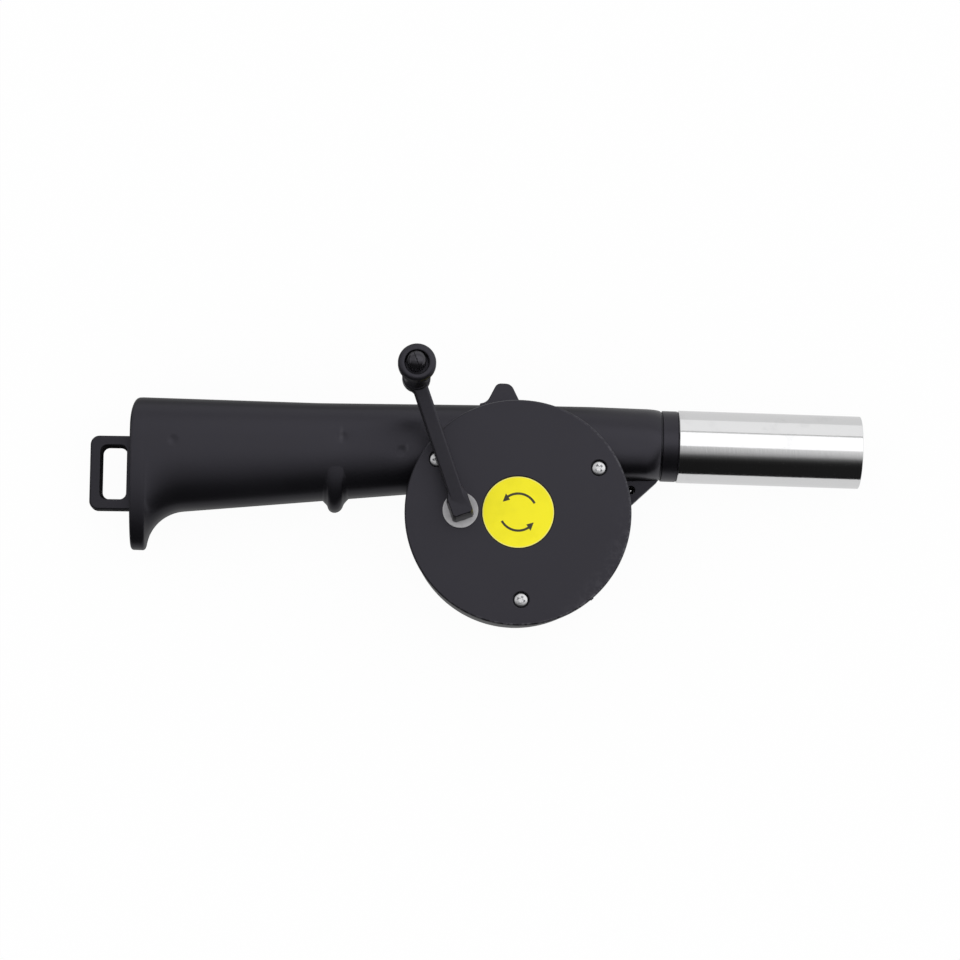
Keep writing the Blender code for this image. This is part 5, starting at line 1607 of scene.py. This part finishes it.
@dataclass
class HangingLoop:
    """Rectangular loop whose root passes through the butt and ends in a wider head inside."""

    length: float = 13.8 * MM
    bar: float = 4.4 * MM
    corner: float = 3.1 * MM
    hole_corner: float = 2.3 * MM
    root: float = 1.0 * MM
    hole_draft: tuple[tuple[float, float, float, float], ...] = (
        (0.0, -0.2 * MM, 0.0, 0.4 * MM), (0.9 * MM, 0.0, 0.75 * MM, 1.2 * MM))
    hole_edge: float = 0.3 * MM
    bevel: float = 0.8 * MM
    lean: float = 1.1
    head_length: float = 2.5 * MM

    def build(self, head_x: float) -> None:
        """Make and dress the loop.

        Args:
            head_x: Where its head starts inside the butt.
        """
        bottom, top = LAYOUT.loop_bottom_y, LAYOUT.loop_bottom_y + LAYOUT.loop_height
        outer_x, end_x = LAYOUT.butt_x - self.length, head_x + self.head_length
        over = LAYOUT.loop_head_overlap
        rim = rounded_outline([
            (outer_x, top, self.corner), (outer_x, bottom, self.corner), (head_x, bottom, 0.0),
            (head_x, bottom - over, 0.0), (end_x, bottom - over, 0.0), (end_x, top + over, 0.0),
            (head_x, top + over, 0.0), (head_x, top, 0.0)], steps=12)
        left, right = outer_x + self.bar, LAYOUT.butt_x - self.root
        low, high, small = bottom + self.bar, top - self.bar, self.hole_corner
        half = LAYOUT.loop_thickness / 2
        loop = extruded("loop_bar", [rim], LAYOUT.parting_z - half, LAYOUT.parting_z + half)
        settle(bevelled(loop, self.bevel, 5, angle=60))
        rings = []
        for grown, height in zip(self.hole_draft, (-half - self.root, half + self.root)):
            west, east, south, north = grown
            corners = [(left - west, low - south), (right + east, low - south),
                       (right + east, high + north), (left - west, high + north)]
            outline = rounded_outline([(x, y, small) for x, y in corners], steps=10)
            rings.append([(x, y, LAYOUT.parting_z + height) for x, y in outline])
        settle(combine(loop, Fusion.CUT, [loft("loop_hole", rings)]))
        settle(bevelled(loop, self.hole_edge, 3, angle=60))
        root = Matrix.Translation((LAYOUT.butt_x, (bottom + top) / 2, 0.0))
        lean = Matrix.Rotation(math.radians(self.lean), 4, "Z")
        loop.data.transform(root @ lean @ root.inverted())
        hand_over(loop, LOOP_BLACK, Body.HOUSING, ["hang_loop"])


@dataclass
class Crank:
    """Washer, hub, rising arm and the boss with the split peg of the knob."""

    angle: float = 111.0
    length: float = 46.3 * MM
    washer_radius: float = 6.12 * MM
    washer_thickness: float = 0.8 * MM
    washer_hole_radius: float = 3.75 * MM
    washer_edge: float = 0.2 * MM
    hub_height: float = 8.6 * MM
    hub_width: float = 7.7 * MM
    hub_top_width: float = 7.1 * MM
    hub_back: float = 3.7 * MM
    hub_top_back: float = 2.6 * MM
    hub_front: float = 6.2 * MM
    hub_tilt: float = 0.09
    hub_corner: float = 0.8 * MM
    hub_shoulder: float = 2.4 * MM
    hub_edge: float = 0.28 * MM
    width: float = 5.2 * MM
    thickness: float = 4.8 * MM
    rise: float = 8.6 * MM
    edge: float = 0.8 * MM
    boss_radius: float = 4.85 * MM
    boss_height: float = 7.6 * MM
    boss_edge: float = 0.6 * MM
    gusset_length: float = 1.0 * MM
    peg_radius: float = 2.2 * MM
    peg_head_radius: float = 3.15 * MM
    peg_head_shift: float = 0.55 * MM
    peg_head_side: float = 6.0 * MM
    peg_head_dome: float = 2.0 * MM
    peg_stands_out: float = 2.3 * MM
    peg_split: float = 0.16 * MM
    peg_split_depth: float = 12.0 * MM
    knob_length: float = 29.7 * MM
    knob_recess_depth: float = 5.0 * MM
    gusset_edge: float = 0.3 * MM
    socket_width: float = 4.5 * MM
    socket_depth: float = 5.9 * MM

    @property
    def hub_z(self) -> float:
        """Level of the hub's foot."""
        return LAYOUT.cover_top_z + 2 * LAYOUT.seat_gap + self.washer_thickness

    @property
    def hub_top_z(self) -> float:
        """Level of the hub's top."""
        return self.hub_z + self.hub_height

    @property
    def arm_top_z(self) -> float:
        """Level of the arm's top at its outer end."""
        return self.hub_top_z + self.rise

    @property
    def knob_z(self) -> float:
        """Level of the knob's foot."""
        return self.arm_top_z + 2 * LAYOUT.seat_gap

    def in_arm_frame(self, item: Item) -> Item:
        """Put a solid that was made along +X into the arm's place."""
        shift = Matrix.Translation((*JOINT_PLACES["crank_turn"].xy, 0.0))
        item.data.transform(shift @ Matrix.Rotation(math.radians(self.angle), 4, "Z"))
        return item

    def washer(self) -> Item:
        """Washer between the cover and the hub."""
        low = LAYOUT.cover_top_z + LAYOUT.seat_gap
        top, edge = low + self.washer_thickness, self.washer_edge
        outer, inner = self.washer_radius, self.washer_hole_radius
        profile = [(inner, top), *arc((outer - edge, top - edge), edge, 90, 0, 4),
                   *arc((outer - edge, low + edge), edge, 0, -90, 4), (inner, low)]
        return settle(lathe("washer_ring", profile, JOINT_PLACES["crank_turn"].xy, segments=96))

    def hub(self) -> Item:
        """Hub, cut off at its back corners and drawn in to the arm."""
        rings = []
        for width, back, height in ((self.hub_width, self.hub_back, self.hub_z),
                                    (self.hub_top_width, self.hub_top_back, self.hub_top_z)):
            half, inner = width / 2, self.width / 2
            front, shoulder, corner = self.hub_front, self.hub_shoulder, self.hub_corner
            outline = [(-back, corner - half), (-back, half - corner), (corner - back, half),
                       (front - shoulder, half), (front, inner), (front, -inner),
                       (front - shoulder, -half), (corner - back, -half)]
            tilt = self.hub_tilt if height > self.hub_z else 0.0
            rings.append([(x, y, height + tilt * x) for x, y in outline])
        return settle(bevelled(loft("crank_hub", rings), self.hub_edge, 5, angle=25))

    def beam(self) -> Item:
        """Bar that rises from the hub to the outer boss."""
        top, end_top = self.hub_top_z, self.arm_top_z
        side_view = [(0.0, top - self.thickness), (self.length, end_top - self.thickness),
                     (self.length, end_top), (0.0, top - LAYOUT.seat_gap)]
        beam = extruded("crank_beam", [side_view], -self.width / 2, self.width / 2)
        settle(bevelled(beam, self.edge, 5))
        beam.data.transform(Matrix.Rotation(math.pi / 2, 4, "X"))
        return beam

    def gusset(self) -> Item:
        """Gusset that leads one side of the bar out to the boss."""
        radius = self.boss_radius
        back = radius + self.gusset_length
        side = (self.width - self.edge) / 2
        touch = math.atan2(side, -back) - math.acos(radius / math.hypot(back, side))
        start = self.length - back
        outline = [(start, 0.0), (self.length, 0.0),
                   (self.length + radius * math.cos(touch), radius * math.sin(touch)), (start, side)]
        top = self.arm_top_z - self.rise * back / self.length - self.edge / 2
        gusset = extruded("arm_gusset", [outline], self.arm_top_z - self.thickness + self.edge, top)
        return settle(bevelled(gusset, self.gusset_edge, 3))

    def peg(self) -> Item:
        """Outer boss with the peg whose split head keeps the knob on."""
        gap, radius, edge = LAYOUT.seat_gap, self.boss_radius, self.boss_edge
        boss_top = self.arm_top_z + gap
        boss_z = boss_top - self.boss_height
        knob_top = self.knob_z + self.knob_length
        peg_top = knob_top + self.peg_stands_out
        head_z = knob_top - self.knob_recess_depth + gap
        head = self.peg_head_radius
        profile = domed(head, peg_top, self.peg_head_dome, 12)
        profile += [(head, head_z), (self.peg_radius, head_z), (self.peg_radius, boss_top)]
        profile += arc((radius - edge, boss_top - edge), edge, 90, 0, 5)
        profile += arc((radius - edge, boss_z + edge), edge, 0, -90, 5) + [(0.0, boss_z)]
        peg = lathe("crank_peg", profile, segments=80)
        side, reach, above = self.peg_head_side / 2, 2 * head, peg_top + LAYOUT.wall
        tools = [box("peg_flat_1", (-reach, side, head_z - gap / 2), (reach, reach, above)),
                 box("peg_flat_2", (-reach, -reach, head_z - gap / 2), (reach, -side, above)),
                 box("peg_split", (-reach, -self.peg_split / 2, peg_top - self.peg_split_depth),
                     (reach, self.peg_split / 2, above))]
        settle(combine(peg, Fusion.CUT, tools))
        for vertex in peg.data.vertices:
            beside = math.hypot(*vertex.co.xy) > self.peg_radius + gap
            if vertex.co.z > head_z + gap or (beside and vertex.co.z > boss_top + gap):
                vertex.co.x += self.peg_head_shift
        peg.data.transform(Matrix.Translation((self.length, 0.0, 0.0)))
        return peg

    def build(self) -> None:
        """Make and dress the washer and the arm."""
        hand_over(self.washer(), WASHER_NYLON, Body.CRANK, ["crank_washer"])
        arm = self.in_arm_frame(self.hub())
        arm.name = "arm_and_peg"
        parts = [self.in_arm_frame(part) for part in (self.beam(), self.gusset(), self.peg())]
        combine(arm, Fusion.JOIN, parts)
        half = self.socket_width / 2
        socket = box("crank_socket", (-half, -half, self.hub_z - LAYOUT.wall),
                     (half, half, self.hub_z + self.socket_depth))
        combine(arm, Fusion.CUT, [self.in_arm_frame(socket)])
        hand_over(settle(arm), CRANK_BLACK, Body.CRANK, ["crank_arm"])


@dataclass
class Knob:
    """Turned knob with a flange at its outer end and a recess for the peg's head."""

    radius: float = 4.4 * MM
    waist_radius: float = 4.0 * MM
    waist_rise: float = 13.4 * MM
    waist_power: float = 1.6
    bore_edge: float = 0.2 * MM
    foot_edge: float = 0.4 * MM
    flange_radius: float = 6.35 * MM
    flange_length: float = 5.2 * MM
    flange_rounding: float = 1.4 * MM
    flange_edge: float = 0.8 * MM
    neck_step: float = 0.3 * MM
    lip: float = 0.55 * MM
    play: float = 0.2 * MM

    def build(self, crank: Crank) -> None:
        """Make and dress the knob.

        Args:
            crank: The crank whose peg it turns on.
        """
        foot, top = crank.knob_z, crank.knob_z + crank.knob_length
        recess = crank.peg_head_radius + crank.peg_head_shift + self.play
        bore = crank.peg_radius + self.play
        recess_z, flange_z = top - crank.knob_recess_depth, top - self.flange_length
        flange, rounding = self.flange_radius, self.flange_rounding
        profile = arc((recess + self.lip, top - self.lip), self.lip, 180, 90, 8)
        profile += arc((flange - rounding, top - rounding), rounding, 90, 0, 10)
        profile += arc((flange - self.flange_edge, flange_z + self.flange_edge), self.flange_edge, 0, -90, 6)
        profile.append((self.radius + self.neck_step, flange_z - 2 * self.neck_step))
        swell, edge = self.radius - self.waist_radius, self.bore_edge
        for i in range(1, 13):
            height = between(i, 0, 12, flange_z - 2 * self.neck_step, foot + self.foot_edge)
            bulge = min(abs(height - foot - self.waist_rise) / self.waist_rise, 1.0)
            profile.append((self.waist_radius + swell * bulge ** self.waist_power, height))
        profile += [(self.radius - self.foot_edge, foot), (bore + edge, foot), (bore, foot + edge),
                    (bore, recess_z), (recess, recess_z)]
        knob = lathe("knob_turning", profile, JOINT_PLACES["knob_spin"].xy, segments=112)
        hand_over(settle(knob), KNOB_BLACK, Body.KNOB, ["crank_knob"])


@dataclass
class DriveTrain:
    """Gears, shafts and fan wheel inside the case, kept as the CAD made them."""

    def build(self) -> None:
        """Dress the carried-over nodes."""
        dressed = {"crank_gear": GEAR_ACETAL, "idler_gear": GEAR_ACETAL, "fan_pinion": GEAR_ACETAL,
                   "idler_pin": SHAFT_STEEL, "fan_shaft": SHAFT_STEEL, "impeller": FAN_BLACK}
        for node, finish in dressed.items():
            mesh = frame["nodes"][node].data
            mesh.materials.clear()
            mesh.materials.append(finish.material())
            LOG.info("%s keeps its solid, dressed in %s", node, finish.name)


@dataclass
class Studio:
    """White table, soft light and the photograph's camera."""

    tilt: float = 7.0
    yaw: float = 1.3
    roll: float = 1.72
    distance: float = 1150.0 * MM
    scale: float = 0.35 * MM
    target: Spot = (-12.95 * MM, 13.3 * MM, 14.5 * MM)
    frame_pixels: int = 960
    table_reach: float = 6.0
    world_strength: float = 0.95
    table_glow: float = 0.955
    table_in_gloss: float = 0.74
    # Level of the table in reflections beside the handle, a painted shade.
    handle_shade_in_gloss: float = 0.40
    card_distance: float = 1.6
    card_reach: float = 2.4
    card_rows: int = 24
    brightest: float = 1.3
    table_z: float = -0.02 * MM
    table_colour: Colour = (0.95, 0.95, 0.95)
    table_change: Point = (10.0 * MM, 60.0 * MM)
    wall_fade: Point = (0.1, 0.45)
    wall_left: float = 0.6
    box_fade: Point = (-0.5, 0.15)
    box_left: float = 0.62
    flag_lift: float = 1.0 * MM
    table_flag_level: float = 0.012
    left_flag_level: float = 0.04
    loop_shade_level: float = 0.01
    table_flag_end: float = -75.0 * MM
    left_flag_x: float = -2.3
    left_flag_y: Point = (-2.0, 2.0)
    left_flag_z: Point = (0.0, 0.9)
    # Place of the dark card under the loop that paints its shadow in reflections.
    loop_shade_x: Point = (LAYOUT.butt_x - 30.0 * MM, LAYOUT.butt_x - 0.5 * MM)
    loop_shade_y: Point = (-8.0 * MM, 40.0 * MM)
    grade: tuple[Point, ...] = (
        (-102.5, 0.015), (-56.0, 0.015), (-46.0, 0.022), (-39.0, 0.055), (-33.0, 0.13), (-29.0, 0.25),
        (-26.0, 0.40), (-17.0, 0.66), (-6.0, 0.86), (-2.4, 0.92))
    bright: tuple[Point, ...] = (
        (-2.4, 1.3), (42.0, 1.3), (42.4, 0.45), (46.0, 0.45), (46.4, 1.0), (49.0, 0.95))

    def view_axes(self) -> tuple[Vector, Vector, Vector]:
        """Camera's right, up and backward directions."""
        tilt, yaw, roll = (math.radians(angle) for angle in (self.tilt, self.yaw, self.roll))
        back = Vector((-math.sin(yaw) * math.cos(tilt), -math.sin(tilt), math.cos(yaw) * math.cos(tilt)))
        back.normalize()
        up = (Vector((0.0, 1.0, 0.0)) - back * back.y).normalized()
        right = up.cross(back)
        return (right * math.cos(roll) + up * math.sin(roll),
                up * math.cos(roll) - right * math.sin(roll), back)

    def camera(self) -> None:
        """Set up the camera."""
        right, up, back = self.view_axes()
        data = bpy.data.cameras.new("photo_camera")
        data.sensor_width = 36.0
        data.lens = self.distance / self.scale * data.sensor_width / self.frame_pixels
        data.clip_start, data.clip_end = 0.05, 50.0
        item = bpy.data.objects.new("photo_camera", data)
        bpy.context.scene.collection.objects.link(item)
        spot = Vector(self.target) + back * self.distance
        turn = Matrix((right, up, back)).transposed().to_4x4()
        item.matrix_world = Matrix.Translation(spot) @ turn
        bpy.context.scene.camera = item

    def table(self) -> None:
        """Pale table top that looks white to the camera and keeps a faint shadow; reflections see it darker
        beside the handle, a painted shade of the handle.
        """
        reach = self.table_reach
        item = sheet("table_top", [[(x, y, self.table_z) for x in (-reach, reach)] for y in (-reach, reach)])
        material, graph = new_material("table_white")
        seen, glossy, through = (graph.node("ShaderNodeLightPath", output=f"Is {ray} Ray")
                                 for ray in ("Camera", "Glossy", "Transmission"))
        matt = graph.node("ShaderNodeBsdfDiffuse", None, {"Color": self.table_colour})
        # Painted shade: to reflections the table is darker on the handle's side, standing in for the
        # handle's shadow on it.
        nozzle_side = graph.component(graph.place(), "X").rise(*self.table_change)
        pale = graph.layered(nozzle_side, graph.glow(self.handle_shade_in_gloss), graph.glow(self.table_in_gloss))
        lit = graph.layered(seen * self.table_glow, matt, graph.glow(1.0))
        graph.close(graph.layered(glossy + through, lit, pale))
        item.data.materials.append(material)

    def hang_card(self, name: str, rows: Rows, surface: Value, material: bpy.types.Material) -> None:
        """Studio card that only reflections see.

        Args:
            name: The card's name.
            rows: Pairs of points along the card.
            surface: Shader of its paint.
            material: The material that holds the shader.
        """
        item = sheet(name, rows)
        surface.graph.close(surface)
        item.data.materials.append(material)
        for ray in ("camera", "diffuse", "shadow", "transmission"):
            setattr(item, f"visible_{ray}", False)

    def card(self, name: str, rows: Rows, strength: float) -> None:
        """Evenly bright card.

        Args:
            name: The card's name.
            rows: Pairs of points along the card.
            strength: Its brightness, 0 for a black flag.
        """
        material, graph = new_material(f"{name}_paint")
        self.hang_card(name, rows, graph.glow(strength), material)

    def flag(self, name: str, across: Point, along: Point, strength: float) -> None:
        """Card that lies flat just over the table.

        Args:
            name: The card's name.
            across: Places along X of its two ends.
            along: Places along Y of its two sides.
            strength: Its brightness.
        """
        self.card(name, [[(x, y, self.flag_lift) for x in across] for y in along], strength)

    def rows(self, angles: Sequence[float]) -> Rows:
        """Rows of points across the blower's length, at angles from +Z towards +Y in degrees."""
        rows = []
        for angle in angles:
            turn = math.radians(angle)
            y = self.card_distance * math.sin(turn)
            z = LAYOUT.parting_z + self.card_distance * math.cos(turn)
            rows.append([(-self.card_reach, y, z), (self.card_reach, y, z)])
        return rows

    def graded_card(self, name: str, grade: Sequence[Point], fade: Point, left: float) -> None:
        """Curved card whose brightness follows the angle about the X axis and falls off to the left.

        Args:
            name: The card's name.
            grade: Brightness at angles from +Z towards +Y in degrees.
            fade: Places along X where the fall starts and ends.
            left: Share of the brightness that is left beyond it.
        """
        material, graph = new_material(f"{name}_paint")
        place = graph.place()
        height = graph.component(place, "Z") - LAYOUT.parting_z
        angle = graph.node("ShaderNodeMath", {"operation": "ARCTAN2"},
                           {0: graph.component(place, "Y"), 1: height}) * math.degrees(1.0)
        low, high = grade[0][0], grade[-1][0]
        stops = [((degrees - low) / (high - low), (level / self.brightest,) * 3) for degrees, level in grade]
        level = graph.node("ShaderNodeValToRGB", {"stops": stops}, {0: (angle - low) / (high - low)})
        level = level * (left + (1.0 - left) * graph.component(place, "X").rise(*fade))
        paint = graph.layered(level, graph.glow(0.0), graph.glow(self.brightest))
        count = self.card_rows
        angles = [low + (high - low) * i / count for i in range(count + 1)]
        self.hang_card(name, self.rows(angles), paint, material)

    def lights(self) -> None:
        """World light and the cards round the set."""
        world = bpy.data.worlds.new("studio_world")
        bpy.context.scene.world = world
        world.use_nodes = True
        graph = Graph(world.node_tree)
        light = graph.node("ShaderNodeBackground", None, {"Color": WHITE, "Strength": self.world_strength})
        graph.node("ShaderNodeOutputWorld", None, {"Surface": light})
        self.graded_card("near_wall", self.grade, self.wall_fade, self.wall_left)
        self.graded_card("soft_box", self.bright, self.box_fade, self.box_left)
        reach, left = self.card_reach, self.left_flag_x
        self.flag("table_flag", (-reach, reach), (-self.card_distance, self.table_flag_end),
                  self.table_flag_level)
        self.card("left_flag", [[(left, y, z) for y in self.left_flag_y] for z in self.left_flag_z],
                  self.left_flag_level)
        # Painted shade: a dark card under the loop, seen only in reflections, stands for the shadow beneath
        # it.
        self.flag("loop_shade", self.loop_shade_x, self.loop_shade_y, self.loop_shade_level)

    def build(self) -> None:
        """Set up camera, table and lights."""
        self.camera()
        self.table()
        self.lights()
        bpy.context.scene.view_settings.view_transform = "Standard"


def build_screws(body: MouldedBody) -> None:
    """Make every screw.

    Args:
        body: The moulded body that they hold together.
    """
    screw = CrossScrew()
    seat = LAYOUT.cover_top_z - LAYOUT.screw_recess_depth
    for number, (place, turn) in enumerate(zip(LAYOUT.cover_screw_places, screw.cover_turns), 1):
        screw.build(f"cover_screw_{number}", place, seat, True, turn)
    places = body.shell_screw_places
    lengths = [LAYOUT.screw_length] * (len(places) - 1) + [body.web_screw_length]
    for number, (place, length) in enumerate(zip(places, lengths), 1):
        screw.build(f"shell_screw_{number}", place, LAYOUT.shell_seat_z, False,
                    screw.shell_turn * number, length)


def main() -> None:
    """Build and dress every sub-assembly, then the studio."""
    logging.basicConfig(level=logging.INFO, format="%(name)s: %(message)s")
    body = MouldedBody()
    body.build()
    GearCover().build()
    build_screws(body)
    NozzleTube().build()
    HangingLoop().build(body.loop_head_x())
    crank = Crank()
    crank.build()
    Knob().build(crank)
    DriveTrain().build()
    Studio().build()
    clear_spares()


if __name__ == "__main__":
    main()
